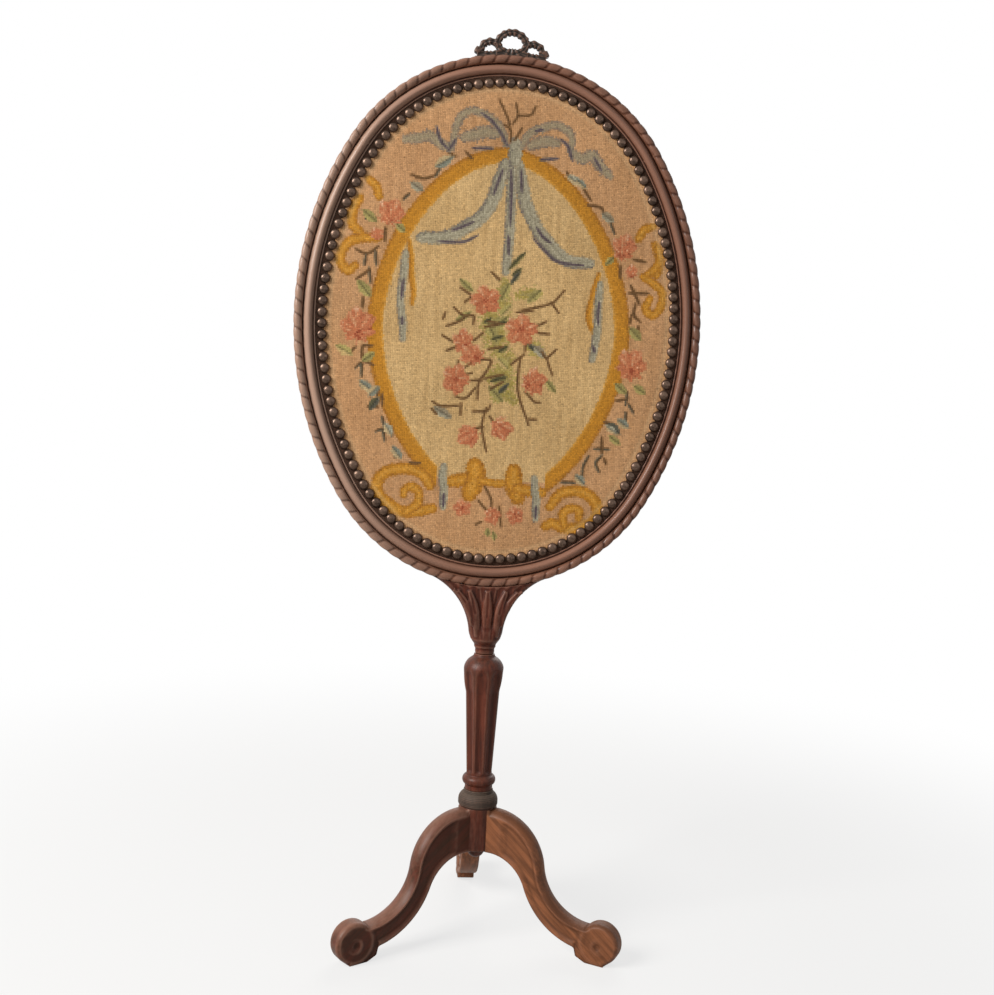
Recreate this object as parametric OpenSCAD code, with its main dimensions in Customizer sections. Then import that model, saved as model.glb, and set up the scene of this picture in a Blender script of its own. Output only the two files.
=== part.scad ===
// Oval needlepoint fire screen on a turned and carved tripod stand.
// Millimetres. Up is +Z, the front is -Y, and the floor is Z = 0.

/* [Oval frame] */
// Half of the frame's width over its outer edge
oval_a = 215; // [175:1:260]
// Half of the frame's height over its outer edge
oval_b = 280; // [230:1:340]
// How much smaller the radius of the top and bottom arcs is than the half width
end_ease = 25; // [15:1:45]
// Width of the moulding, from its outer to its inner edge
frame_w = 36; // [33:1:46]
// Depth of the wood behind the middle plane of the frame
frame_back = 11; // [9:0.5:16]
// Diameter of the ribbon bead on the outer edge
bead_d = 9; // [7:0.5:11]
// Height of the bead's crown over the middle plane
bead_top = 11; // [9:0.5:14]
// Distance between one hollow of the twisted ribbon and the next
ribbon_pitch = 14.5; // [12:0.5:24]
// Radius of those hollows
ribbon_r = 4; // [3:0.5:5]
// Depth of those hollows in the bead
ribbon_depth = 1; // [0.5:0.1:1.5]
// Width of the smooth main moulding
moulding_w = 12.4; // [10:0.2:14]
// Height of the ledge that the cloth is nailed to, over the middle plane
ledge = 4; // [2:0.5:6]
// Width of the step at the back that the backing cloth lies in
rebate_w = 9; // [7:0.5:12]
// Depth of that step
rebate_d = 5; // [3:0.5:6.5]
// Diameter of the dowels in the four butt joints of the frame
joint_dowel_d = 7; // [5:0.5:8]
// Length of those dowels
joint_dowel_l = 36; // [24:1:44]

/* [Cloth and nails] */
// Thickness of the needlepoint
needlepoint_t = 1.2; // [0.8:0.1:2]
// Thickness of the canvas behind it
canvas_t = 0.6; // [0.4:0.1:1]
// Thickness of the backing cloth
backing_t = 0.8; // [0.5:0.1:1.2]
// Diameter of a domed nail's head
nail_d = 11; // [8:0.5:12]
// Height of that dome
nail_h = 3.4; // [2:0.2:5]
// Length of its shank
nail_l = 11; // [8:1:12]
// Wanted distance between nails
nail_pitch = 11.55; // [8.6:0.05:16]
// Diameter of a backing tack's head
tack_d = 6; // [4:0.5:7]
// Wanted distance between tacks
tack_pitch = 32; // [20:1:50]

/* [Crest] */
// Half of the width of the openwork crest
crest_half_w = 42; // [36:1:50]
// Height of its middle loop over the frame
crest_h = 29; // [26:0.5:36]
// Thickness of the crest, front to back
crest_t = 9; // [6:0.5:14]
// Diameter of its two dowels
crest_dowel_d = 3.6; // [2.6:0.2:4]

/* [Bracket] */
// Height of the carved bracket, from the column's top to the frame
bracket_h = 71; // [62:1:86]
// Half of its width where it meets the frame
bracket_half_w = 54; // [44:1:56]
// Half of its width at the waist
bracket_waist = 17.6; // [15:0.2:20]
// Radius of the hollow sweep at each side
bracket_sweep_r = 70.8; // [64:0.2:80]
// Thickness of the leaf, front to back
bracket_t = 22; // [16:1:24]
// Radius of the hollows between the ribs of the leaf
rib_r = 4; // [3:0.5:5]
// Radius of the neck that sits on the column
neck_r = 10; // [9:0.1:10.5]
// Diameter of the dowels that hold the bracket to the frame
bracket_dowel_d = 8; // [6:0.5:9]
// Distance of those dowels from the middle
bracket_dowel_x = 15; // [12:1:20]

/* [Column and pivot] */
// Height of the column between the base collar and the bracket
column_h = 143; // [118:1:180]
// Radius of the shaft above the ring
shaft_r = 13.9; // [12:0.1:16]
// Radius of the shaft where it runs into the bulb
shaft_top_r = 18.4; // [17:0.1:20]
// Radius of the bulb
bulb_r = 21.4; // [20.8:0.1:25]
// Radius of the ring over its edge
ring_r = 17.6; // [16:0.1:21]
// Number of flutes on the shaft
flutes = 8; // [6:1:10]
// Radius of the flute's hollow
flute_r = 4.4; // [3:0.1:4.8]
// Diameter of the turned pivot under the bracket
pivot_d = 12; // [9:0.5:14]
// Length of the pivot inside the column
pivot_l = 55; // [40:1:80]
// Running clearance round the pivot
run_gap = 0.05; // [0.02:0.01:0.09]

/* [Base] */
// How far the domed collar stands out over the hub
collar_over = 2.5; // [1.5:0.5:4]
// Height of that collar
collar_h = 17; // [13:0.5:21]
// Height of the hub's top over the floor
hub_top = 132; // [120:1:160]
// Radius of the hub
hub_r = 19.5; // [18:0.5:23]
// Height of the underside of the hub over the floor
hub_low = 87; // [78:1:96]
// Radius of the drop turned on the hub's underside
drop_r = 9.5; // [7:0.5:10]
// Radius of the column's spigot in the hub
spigot_r = 7.5; // [6:0.5:8]
// Length of the spigot inside the hub
spigot_l = 33; // [24:1:40]
// Distance from the axis to the middle of a foot's scroll
leg_reach = 143.7; // [119:0.1:175]
// Thickness of a leg
leg_t = 21; // [17:0.5:25]
// Radius of the scroll on the foot
scroll_r = 19.7; // [16:0.1:22]
// Radius of the leg's outer edge at the knee
knee_r = 58; // [50:1:66]
// Height of the low point of the leg's upper edge, just before the scroll
instep_z = 34; // [30:0.5:38]
// Width of the leg at the ankle
ankle_w = 22.5; // [19:0.5:26]
// Depth of the sunk panel on the leg's sides
panel_depth = 1; // [0.5:0.1:2]
// Depth of the dovetail tongue in the hub
tongue_d = 8; // [6:0.5:9]
// Width of the tongue's inner end
tongue_w = 13; // [11:0.5:15]

/* [Fits] */
// Glue gap of the joints that don't move
glue_gap = 0.05; // [0.02:0.01:0.1]

/* [Hidden] */
$fn = 64;

// Heights along the column's axis
column_z = hub_top + collar_h;
column_top = column_z + column_h;
frame_z = column_top + bracket_h;
frame_mid = frame_z + oval_b;
frame_top_z = frame_z + 2 * oval_b;

// Four-centre oval of the frame's outer edge
end_r = oval_a - end_ease;
side_r = (pow(oval_b - end_r, 2) + oval_a * oval_a - end_r * end_r) / (2 * end_ease);
end_c = oval_b - end_r;
side_c = side_r - oval_a;
joint_a = atan2(end_c, side_c);

collar_r = hub_r + collar_over;

// Section of the moulding, measured inwards from the outer edge
bead_r = bead_d / 2;
moulding_u = bead_d + 0.6;
moulding_mid = moulding_u + moulding_w / 2;
ledge_u = moulding_u + moulding_w - 0.5;
nail_u = ledge_u + 2 + nail_d / 2;
cloth_u = ledge_u + 1;
rebate_u = frame_w - rebate_w;
tack_u = frame_w - rebate_w / 2;
cloth_f = ledge + canvas_t;
backing_f = rebate_d - frame_back;
nail_shank_r = 0.8;
tack_shank_r = 0.6;
tack_h = 1.2;
tack_l = 7;
dowel_f = -3;
dowel_us = [bead_d, bead_d + 13];
crest_f = 1.5;
crest_dowel_x = 13.8;

// Leg outline: u runs out from the axis, z up from the floor
leg_top = hub_top - 0.3;
knee_c = [hub_r + 1, leg_top - knee_r];
ankle_u = leg_reach - 13.7;
knee_span = ankle_u - knee_c[0];
knee_drop = instep_z - knee_c[1];
ankle_r = (knee_span * knee_span + knee_drop * knee_drop - knee_r * knee_r)
  / (2 * (knee_r - knee_drop));
ankle_c = [ankle_u, instep_z + ankle_r];
heel_r = ankle_r + ankle_w;
heel_h = ankle_c[1] - hub_low;
under_r = (knee_span * knee_span + heel_h * heel_h - heel_r * heel_r) / (2 * (heel_r - heel_h));
under_c = [knee_c[0], hub_low - under_r];
knee_a = atan2(ankle_c[1] - knee_c[1], knee_span);
under_a = atan2(ankle_c[1] - under_c[1], knee_span);
scroll_c = [leg_reach, scroll_r + 0.7];
leg_angles = [210, -30, 90];

// The axis stands forward so that the whole object is centred on the origin
reach = leg_reach + scroll_r;
axis_y = -(reach / 2 - leg_t / 2 * cos(30)) / 2;

wood = [0.36, 0.21, 0.14];
wood_red = [0.42, 0.19, 0.12];
wood_grey = [0.42, 0.38, 0.33];
pale_wood = [0.72, 0.56, 0.38];
brass = [0.36, 0.27, 0.19];
iron = [0.25, 0.25, 0.26];

// Point at angle a on a circle
function on(c, r, a) = [c[0] + r * cos(a), c[1] + r * sin(a)];
// Points along an arc
function arc(c, r, a0, a1, n) = [for (i = [0:n]) on(c, r, a0 + (a1 - a0) * i / n)];

// Points of the four-centre oval, a distance u inside the frame's outer edge
function oval_points(u, n = 30) = concat(
  arc([-side_c, 0], side_r - u, -joint_a, joint_a, n),
  arc([0, end_c], end_r - u, joint_a, 180 - joint_a, n),
  arc([side_c, 0], side_r - u, 180 - joint_a, 180 + joint_a, n),
  arc([0, -end_c], end_r - u, 180 + joint_a, 360 - joint_a, n)
);

// Evenly spaced places along one arc of that oval, half a step in from each end
function arc_places(c, r, a0, a1, pitch) =
  let (n = round((a1 - a0) / 360 * 2 * PI * r / pitch))
  [for (i = [0:n - 1]) on(c, r, a0 + (a1 - a0) * (i + 0.5) / n)];
function oval_places(u, pitch) = concat(
  arc_places([-side_c, 0], side_r - u, -joint_a, joint_a, pitch),
  arc_places([0, end_c], end_r - u, joint_a, 180 - joint_a, pitch),
  arc_places([side_c, 0], side_r - u, 180 - joint_a, 180 + joint_a, pitch),
  arc_places([0, -end_c], end_r - u, 180 + joint_a, 360 - joint_a, pitch)
);

// Puts a shape drawn in the plane of the screen, with its front up, where the screen stands
module on_screen() {
  translate([0, axis_y, frame_mid]) rotate([90, 0, 0]) children();
}

module on_axis() {
  translate([0, axis_y, 0]) children();
}

// Section of the frame, x inwards from the outer edge as a negative value, y forwards
module frame_section() {
  mirror([1, 0]) difference() {
    union() {
      translate([bead_r, bead_top - bead_r]) circle(bead_r);
      translate([moulding_mid, bead_top - moulding_w / 2]) circle(moulding_w / 2);
      polygon([
        [1.2, 3 - frame_back], [4.2, -frame_back], [frame_w, -frame_back],
        [frame_w, ledge], [ledge_u, ledge], [ledge_u, ledge + 1], [1.2, ledge + 1]
      ]);
    }
    translate([rebate_u, -frame_back - 1]) square([rebate_w + 1, rebate_d + 1]);
  }
}

// Slanting hollows along one arc, which make its bead a twisted ribbon
module ribbon_hollows(c, r, a0, a1) {
  n = round((a1 - a0) / 360 * 2 * PI * r / ribbon_pitch);
  bead = on([0, bead_top - bead_r], bead_r - ribbon_depth + ribbon_r, 135);
  for (i = [0:n - 1])
    translate([c[0], c[1], 0]) rotate([0, 0, a0 + (a1 - a0) * (i + 0.5) / n])
      translate([r - bead_r - bead[0], 0, bead[1]]) rotate([0, -45, 0]) rotate([90, 0, 0])
        rotate([0, 40, 0]) cylinder(r = ribbon_r, h = 3 * bead_d, center = true);
}

// One quarter of the frame, swept about the middle of its arc
module frame_arc(c, r, a0, a1) {
  difference() {
    translate([c[0], c[1], 0]) rotate([0, 0, a0])
      rotate_extrude(angle = a1 - a0) translate([r, 0]) frame_section();
    ribbon_hollows(c, r, a0, a1);
  }
}

// Dowels of the four butt joints, with extra radius and length for their holes
module joint_dowels(gap = 0) {
  for (sx = [-1, 1], sy = [-1, 1], u = dowel_us)
    translate([
      sx * (end_r - u) * cos(joint_a), sy * (end_c + (end_r - u) * sin(joint_a)), dowel_f
    ])
      rotate([0, 0, sx * sy * joint_a]) rotate([90, 0, 0])
        cylinder(d = joint_dowel_d + 2 * gap, h = joint_dowel_l + (gap > 0 ? 2 : 0), center = true);
}

// The two dowels between bracket and frame, in the object's own place
module bracket_pins(gap = 0) {
  on_axis() for (sx = [-1, 1])
    translate([sx * bracket_dowel_x, 0, frame_z])
      cylinder(d = bracket_dowel_d + 2 * gap, h = 32 + (gap > 0 ? 2 : 0), center = true);
}

module crest_pins(gap = 0) {
  translate([0, axis_y - crest_f, frame_top_z]) for (sx = [-1, 1])
    translate([sx * crest_dowel_x, 0, 0])
      cylinder(d = crest_dowel_d + 2 * gap, h = 22 + (gap > 0 ? 2 : 0), center = true);
}

module frame_top() {
  color(wood) difference() {
    on_screen() difference() {
      frame_arc([0, end_c], end_r, joint_a, 180 - joint_a);
      joint_dowels(glue_gap);
    }
    crest_pins(glue_gap);
  }
}

module frame_bottom() {
  color(wood) difference() {
    on_screen() difference() {
      frame_arc([0, -end_c], end_r, 180 + joint_a, 360 - joint_a);
      joint_dowels(glue_gap);
    }
    bracket_pins(glue_gap);
  }
}

module frame_right() {
  color(wood) on_screen() difference() {
    frame_arc([-side_c, 0], side_r, -joint_a, joint_a);
    joint_dowels(glue_gap);
  }
}

module frame_left() {
  color(wood) on_screen() difference() {
    frame_arc([side_c, 0], side_r, 180 - joint_a, 180 + joint_a);
    joint_dowels(glue_gap);
  }
}

module frame_dowels() {
  color(pale_wood) on_screen() joint_dowels();
}

module cloth_sheet(u, f, t) {
  on_screen() translate([0, 0, f]) linear_extrude(height = t) polygon(oval_points(u));
}

module needlepoint() {
  color([0.78, 0.62, 0.42]) cloth_sheet(cloth_u, cloth_f, needlepoint_t);
}

module lining_canvas() {
  color([0.80, 0.74, 0.60]) cloth_sheet(cloth_u, ledge, canvas_t);
}

module backing_cloth() {
  color([0.55, 0.45, 0.33]) cloth_sheet(rebate_u + 0.5, backing_f - backing_t, backing_t);
}

// A domed nail with its head's underside at z = 0
module domed_nail() {
  dome_r = (nail_d * nail_d / 4 + nail_h * nail_h) / (2 * nail_h);
  rotate_extrude() intersection() {
    translate([0, nail_h - dome_r]) circle(dome_r);
    square([nail_d / 2 + 1, nail_h + 1]);
  }
  translate([0, 0, -nail_l]) cylinder(r = nail_shank_r, h = nail_l + 1);
}

module front_nails() {
  color(brass) on_screen() for (p = oval_places(nail_u, nail_pitch))
    translate([p[0], p[1], cloth_f + needlepoint_t]) domed_nail();
}

module backing_tacks() {
  color(iron) on_screen() for (p = oval_places(tack_u, tack_pitch))
    translate([p[0], p[1], backing_f - backing_t]) {
      translate([0, 0, -tack_h]) cylinder(d = tack_d, h = tack_h);
      translate([0, 0, -tack_h / 2]) cylinder(r = tack_shank_r, h = tack_l);
    }
}

// Outline of the crest over the top of the frame, in the plane of the screen
module crest_outline() {
  difference() {
    union() {
      translate([0, crest_h / 2 - 1]) circle(crest_h / 2 + 0.6);
      for (sx = [-1, 1]) {
        translate([sx * 13.2, crest_h - 9]) circle(4.6);
        translate([sx * 23.6, 7.6]) circle(10.4);
        translate([sx * (crest_half_w - 5.6), 4.4]) circle(5.6);
      }
      translate([-crest_half_w, -8]) square([2 * crest_half_w, 11]);
    }
    translate([0, 14.4]) scale([1.68, 1]) circle(6.7);
    for (sx = [-1, 1]) translate([sx * 23.7, 7.4]) scale([1.6, 1]) circle(4.2);
    translate([0, -end_r]) circle(end_r + glue_gap);
  }
}

module crest() {
  color(wood) difference() {
    translate([0, axis_y, frame_top_z]) rotate([90, 0, 0])
      translate([0, 0, crest_f - crest_t / 2]) linear_extrude(height = crest_t) crest_outline();
    crest_pins(glue_gap);
  }
}

module crest_dowels() {
  color(pale_wood) crest_pins();
}

// Front outline of the leaf, from the cup up to the frame
module bracket_outline() {
  sweep_z = 15.5;
  difference() {
    translate([-bracket_half_w, sweep_z]) square([2 * bracket_half_w, bracket_h]);
    for (sx = [-1, 1])
      translate([sx * (bracket_waist + bracket_sweep_r), sweep_z]) circle(bracket_sweep_r);
    translate([0, bracket_h + end_r]) circle(end_r + glue_gap);
  }
}

// Turned neck and cup, as a half section from the column's top upwards
module bracket_turning() {
  bead = 2.6;
  rotate_extrude() {
    polygon(concat(
      [[0, 0], [neck_r, 0], [neck_r, 5], [neck_r - 1.2, 6], [neck_r - 1.2, 8]],
      [[neck_r, 11], [14.5, 14], [16.6, 19], [17.2, 25], [16.4, 32], [14, 39], [0, 44]]
    ));
    translate([neck_r + 1.3 - bead, 8.5]) circle(bead);
  }
}

// Hollows between the ribs of the leaf, fanned out on its front and its back
module bracket_hollows() {
  for (face = [-1, 1], fan = [-36, -14, 14, 36])
    translate([0, face * (bracket_t / 2 + rib_r - 2), 17]) rotate([0, fan, 0])
      translate([0, 0, 14]) {
        sphere(rib_r);
        cylinder(r = rib_r, h = bracket_h);
      }
}

module bracket() {
  socket = 30;
  color(wood) difference() {
    on_axis() translate([0, 0, column_top]) difference() {
      union() {
        bracket_turning();
        difference() {
          rotate([90, 0, 0]) linear_extrude(height = bracket_t, center = true) bracket_outline();
          bracket_hollows();
        }
      }
      translate([0, 0, -1]) cylinder(d = pivot_d + 2 * glue_gap, h = socket + 1);
    }
    bracket_pins(glue_gap);
  }
}

module bracket_dowels() {
  color(pale_wood) bracket_pins();
}

module pivot_dowel() {
  glued = 29;
  color(pale_wood) on_axis() translate([0, 0, column_top - pivot_l])
    cylinder(d = pivot_d, h = pivot_l + glued);
}

// Half section of the column, with z = 0 on the collar and the spigot below it
module column_section() {
  ring_z = 10;
  ring_tube = 5.4;
  shaft_z = 19;
  bulb_z = column_h - 18;
  swell_z = bulb_z - 22;
  swell = bulb_r - shaft_top_r;
  swell_r = (swell * swell + 22 * 22) / (2 * swell);
  crown_r = 16;
  polygon(concat(
    [[0, -spigot_l - collar_h], [spigot_r, -spigot_l - collar_h], [spigot_r, 0]],
    [[shaft_r + 0.6, 0], [shaft_r + 0.6, 4], [shaft_r, ring_z - 4]],
    [[shaft_r, shaft_z], [shaft_top_r, swell_z]],
    arc([bulb_r - swell_r, bulb_z], swell_r, -asin(22 / swell_r) * 0.75, 0, 4),
    arc([bulb_r - crown_r, bulb_z], crown_r, 10, 62, 6),
    [[neck_r + 0.8, column_h - 2.5], [neck_r + 0.8, column_h], [0, column_h]]
  ));
  translate([ring_r - ring_tube, ring_z]) circle(ring_tube);
}

// One hollow of the fluting, cut along the taper of the shaft and running out into the bulb
module flute(a) {
  low = [shaft_r + flute_r - 1.3, 20];
  high = [shaft_top_r + flute_r, column_h - 36];
  tilt = atan2(high[0] - low[0], high[1] - low[1]);
  rotate([0, 0, a]) translate([low[0], 0, low[1]]) rotate([0, tilt, 0])
    cylinder(r = flute_r, h = norm(high - low));
}

module column() {
  socket = pivot_l + 1;
  color(wood_red) on_axis() translate([0, 0, column_z]) difference() {
    rotate_extrude() column_section();
    for (i = [0:flutes - 1]) flute(360 / flutes * (i + 0.5));
    translate([0, 0, column_h - socket]) cylinder(d = pivot_d + 2 * run_gap, h = socket + 1);
  }
}

module base_collar() {
  dome = 10;
  color(wood_grey) on_axis() translate([0, 0, hub_top]) rotate_extrude()
    polygon(concat(
      [[spigot_r + glue_gap, 0], [collar_r - 1.5, 0], [collar_r, 2.5]],
      arc([collar_r - dome, 6], dome, 0, 70, 6),
      [[collar_r - 6.6, collar_h], [spigot_r + glue_gap, collar_h]]
    ));
}

// Dovetail tongue of a leg, which slides up into the hub from below
module tongue(gap = 0) {
  narrow = tongue_w - 3.5;
  low = hub_low + 1 - (gap > 0 ? 3 : 0);
  translate([0, 0, low]) linear_extrude(height = hub_top - 8 - low + gap) polygon([
    [hub_r - tongue_d - gap, -tongue_w / 2 - gap], [hub_r + 2, -narrow / 2 - gap],
    [hub_r + 2, narrow / 2 + gap], [hub_r - tongue_d - gap, tongue_w / 2 + gap]
  ]);
}

module hub() {
  color(wood_red) on_axis() difference() {
    rotate_extrude() polygon(concat(
      arc([0, hub_low - 1], drop_r, -90, 0, 8),
      [[hub_r - 1.5, hub_low], [hub_r, hub_low + 1.5], [hub_r, hub_top], [0, hub_top]]
    ));
    for (a = leg_angles) rotate([0, 0, a]) tongue(glue_gap);
    translate([0, 0, hub_top - spigot_l - 1]) cylinder(r = spigot_r + glue_gap, h = spigot_l + 2);
  }
}

// Side outline of a leg: knee, hollow ankle, scroll and the wedge that it stands on
module leg_outline() {
  root = hub_r - 4;
  wedge_u = leg_reach - 26;
  heel_a = 270 - asin((ankle_u - wedge_u) / heel_r);
  scroll_a = acos((ankle_u - leg_reach) / scroll_r);
  polygon(concat(
    [[root, leg_top]],
    arc(knee_c, knee_r, 90, knee_a, 20),
    arc(ankle_c, ankle_r, 184 + knee_a, 270, 18),
    arc(scroll_c, scroll_r, scroll_a, -55, 30),
    [[leg_reach + 6, 0], [leg_reach - 14, 0], [wedge_u + 2, 4.5]],
    arc(ankle_c, heel_r, heel_a, 180 + under_a, 20),
    arc(under_c, under_r, under_a + 4, 90, 12),
    [[root, hub_low]]
  ));
}

// Sunk panel that leaves a bead along the lower edge of the leg
module leg_panel() {
  polygon(concat(
    arc(ankle_c, ankle_r + 6, 180 + under_a + 2, 262, 16),
    arc(ankle_c, heel_r - 4.5, 262, 180 + under_a + 2, 16)
  ));
}

module leg(a) {
  color(wood) on_axis() rotate([0, 0, a]) union() {
    difference() {
      rotate([90, 0, 0]) linear_extrude(height = leg_t, center = true) leg_outline();
      cylinder(r = hub_r + glue_gap, h = hub_top + 20);
      for (side = [-1, 1]) translate([0, side * leg_t / 2, 0]) rotate([90, 0, 0])
        linear_extrude(height = 2 * panel_depth, center = true) leg_panel();
    }
    tongue();
  }
}

module leg_front_left() {
  leg(leg_angles[0]);
}

module leg_front_right() {
  leg(leg_angles[1]);
}

module leg_rear() {
  leg(leg_angles[2]);
}

leg_front_left();
leg_front_right();
leg_rear();
hub();
base_collar();
column();
pivot_dowel();
bracket();
bracket_dowels();
frame_top();
frame_right();
frame_bottom();
frame_left();
frame_dowels();
crest();
crest_dowels();
needlepoint();
lining_canvas();
backing_cloth();
front_nails();
backing_tacks();
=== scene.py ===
"""Oval needlepoint fire screen on a tripod stand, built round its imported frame.

Lengths inside the builders are millimetres in the frame's own axes: up is +Z and the front is -Y.
"""

import math

import bmesh
import bpy
import numpy as np
from bpy.props import FloatProperty, FloatVectorProperty, IntProperty, PointerProperty
from mathutils import Matrix, Vector


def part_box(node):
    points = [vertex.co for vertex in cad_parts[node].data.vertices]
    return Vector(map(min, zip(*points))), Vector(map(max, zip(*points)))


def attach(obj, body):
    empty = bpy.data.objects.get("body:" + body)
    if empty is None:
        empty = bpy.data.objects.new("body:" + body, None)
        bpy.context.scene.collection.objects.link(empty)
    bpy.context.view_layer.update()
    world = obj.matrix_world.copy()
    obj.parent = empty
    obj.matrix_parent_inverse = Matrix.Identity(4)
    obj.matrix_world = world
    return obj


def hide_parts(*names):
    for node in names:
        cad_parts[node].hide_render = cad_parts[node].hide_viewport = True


bl_info = {
    "name": "Oval fire screen",
    "version": (1, 0, 0),
    "blender": (4, 5, 0),
    "location": "View3D > Sidebar > Fire Screen",
    "description": "Builds an oval needlepoint fire screen round its packed frame",
    "category": "Add Mesh",
}

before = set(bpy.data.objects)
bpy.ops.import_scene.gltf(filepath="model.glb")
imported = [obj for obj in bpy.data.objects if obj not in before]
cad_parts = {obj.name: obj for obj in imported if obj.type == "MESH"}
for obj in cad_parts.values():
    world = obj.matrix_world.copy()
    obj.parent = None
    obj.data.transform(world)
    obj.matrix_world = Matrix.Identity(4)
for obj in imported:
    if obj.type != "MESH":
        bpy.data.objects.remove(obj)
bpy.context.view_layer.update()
MM = 0.001


def box_mm(node):
    """Lowest and highest corner of a CAD node in millimetres."""
    low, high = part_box(node)
    return [c / MM for c in low], [c / MM for c in high]


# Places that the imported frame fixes
PIVOT = box_mm("pivot_dowel")
AXIS_Y = (PIVOT[0][1] + PIVOT[1][1]) / 2
COLLAR = box_mm("base_collar")
HUB_TOP, COLUMN_Z = COLLAR[0][2], COLLAR[1][2]
COLUMN_TOP = box_mm("column")[1][2]
FRAME_Z = box_mm("frame_bottom")[0][2]
FRAME_TOP_Z = box_mm("frame_top")[1][2]
FRAME_MID = (FRAME_Z + FRAME_TOP_Z) / 2
OVAL_A = box_mm("frame_right")[1][0]
OVAL_B = FRAME_TOP_Z - FRAME_MID
FRAME_BACK = box_mm("frame_top")[1][1] - AXIS_Y
CREST_TOP = box_mm("crest")[1][2]


def size_property(label, text, value):
    return FloatProperty(name=label, description=text, default=value, unit="LENGTH")


class FireScreenSizes(bpy.types.PropertyGroup):
    """Sizes of the visible work"""

    end_ease: size_property("End ease", "How much tighter the end arcs are than half the width", 0.025)
    ribbon_pitch: size_property("Ribbon pitch", "Length of one twist of the ribbon bead", 0.0145)
    ribbon_depth: size_property("Ribbon depth", "Depth of the hollows between its twists", 0.0011)
    nail_diameter: size_property("Nail diameter", "Diameter of a domed nail", 0.011)
    nail_pitch: size_property("Nail pitch", "Distance between nails", 0.01155)
    nail_inset: size_property("Nail inset", "Distance of the nails inside the outer edge", 0.029)
    tack_pitch: size_property("Tack pitch", "Distance between the tacks at the back", 0.032)
    tack_inset: size_property("Tack inset", "Distance of the tacks inside the outer edge", 0.0315)
    cloth_inset: size_property("Cloth inset", "Distance of the needlework inside the outer edge", 0.0225)
    stitch: size_property("Stitch", "Width and height of one stitch", 0.00185)
    stitch_height: size_property("Stitch height", "How far the wool stands up in a stitch", 0.00042)
    flutes: IntProperty(
        name="Flutes", description="Number of hollows round the column's shaft", default=8, min=4)
    leg_thickness: size_property("Leg thickness", "Thickness of a leg", 0.021)
    carving_grain: size_property("Carving grain", "Distance between points of a leg's surface", 0.001)


def colour_property(label, text, value):
    return FloatVectorProperty(
        name=label, description=text, default=value, subtype="COLOR", size=3, min=0, max=1)


class FireScreenColours(bpy.types.PropertyGroup):
    """Colours of its materials, as linear values"""

    walnut: colour_property("Walnut", "Waxed wood of frame and crest", (0.195, 0.074, 0.038))
    walnut_dark: colour_property("Walnut, dark", "Its dark streaks and hollows", (0.052, 0.018, 0.010))
    walnut_worn: colour_property("Walnut, worn", "Its rubbed crowns", (0.310, 0.160, 0.110))
    turned: colour_property("Turned walnut", "Reddish wood of column and hub", (0.125, 0.028, 0.013))
    leg: colour_property("Leg walnut", "Wood of the three legs", (0.170, 0.062, 0.026))
    # The dust colour is also the base of the frame's painted side highlight.
    dust: colour_property("Dust", "Settled dust", (0.175, 0.125, 0.095))
    bronze: colour_property("Bronze", "Heads of the nails", (0.125, 0.078, 0.055))
    blued: colour_property("Blued steel", "Heads of the tacks", (0.050, 0.052, 0.060))
    beech: colour_property("Beech", "Dowels and pivot", (0.480, 0.300, 0.160))
    linen: colour_property("Linen", "Canvas behind the wool", (0.440, 0.340, 0.210))
    cotton: colour_property("Cotton", "Cloth over the back", (0.150, 0.095, 0.052))


def mm(metres):
    return metres / MM


def sizes():
    return bpy.context.scene.fire_screen_sizes


def colours():
    return bpy.context.scene.fire_screen_colours


def smooth(low, high, x):
    """0 below low, 1 above high and an even curve between them."""
    t = np.clip((np.asarray(x, float) - low) / (high - low), 0, 1)
    return t * t * (3 - 2 * t)


def wave_noise(x, y, seed, size):
    """Smooth variation between -1 and 1 over a plane, the same at each run."""
    rng = np.random.default_rng(seed)
    total = 0
    for turn, phase in rng.uniform(0, math.tau, (7, 2)):
        pace = rng.uniform(0.6, 1.6) * math.tau / size
        total = total + np.sin((x * math.cos(turn) + y * math.sin(turn)) * pace + phase)
    return total / 4


def curve_through(points, step=2.0):
    """Points every few millimetres along a smooth line through the given ones."""
    p = np.asarray(points, float)
    if len(p) == 2:
        count = max(2, int(np.linalg.norm(p[1] - p[0]) / step) + 1)
        return p[0] + (p[1] - p[0]) * np.linspace(0, 1, count)[:, None]
    ends = np.vstack([2 * p[0] - p[1], p, 2 * p[-1] - p[-2]])
    made = []
    for i in range(len(p) - 1):
        a, b, c, d = ends[i:i + 4]
        count = max(2, int(np.linalg.norm(c - b) / step) + 1)
        t = np.linspace(0, 1, count, endpoint=i == len(p) - 2)[:, None]
        made.append(0.5 * (2 * b + (c - a) * t + (2 * a - 5 * b + 4 * c - d) * t ** 2
                           + (3 * b - a - 3 * c + d) * t ** 3))
    return np.vstack(made)


def arc_points(cx, cy, r, start, end, count):
    """Points along an arc, with angles in degrees."""
    a = np.radians(np.linspace(start, end, count))
    return np.column_stack([cx + r * np.cos(a), cy + r * np.sin(a)])


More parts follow.
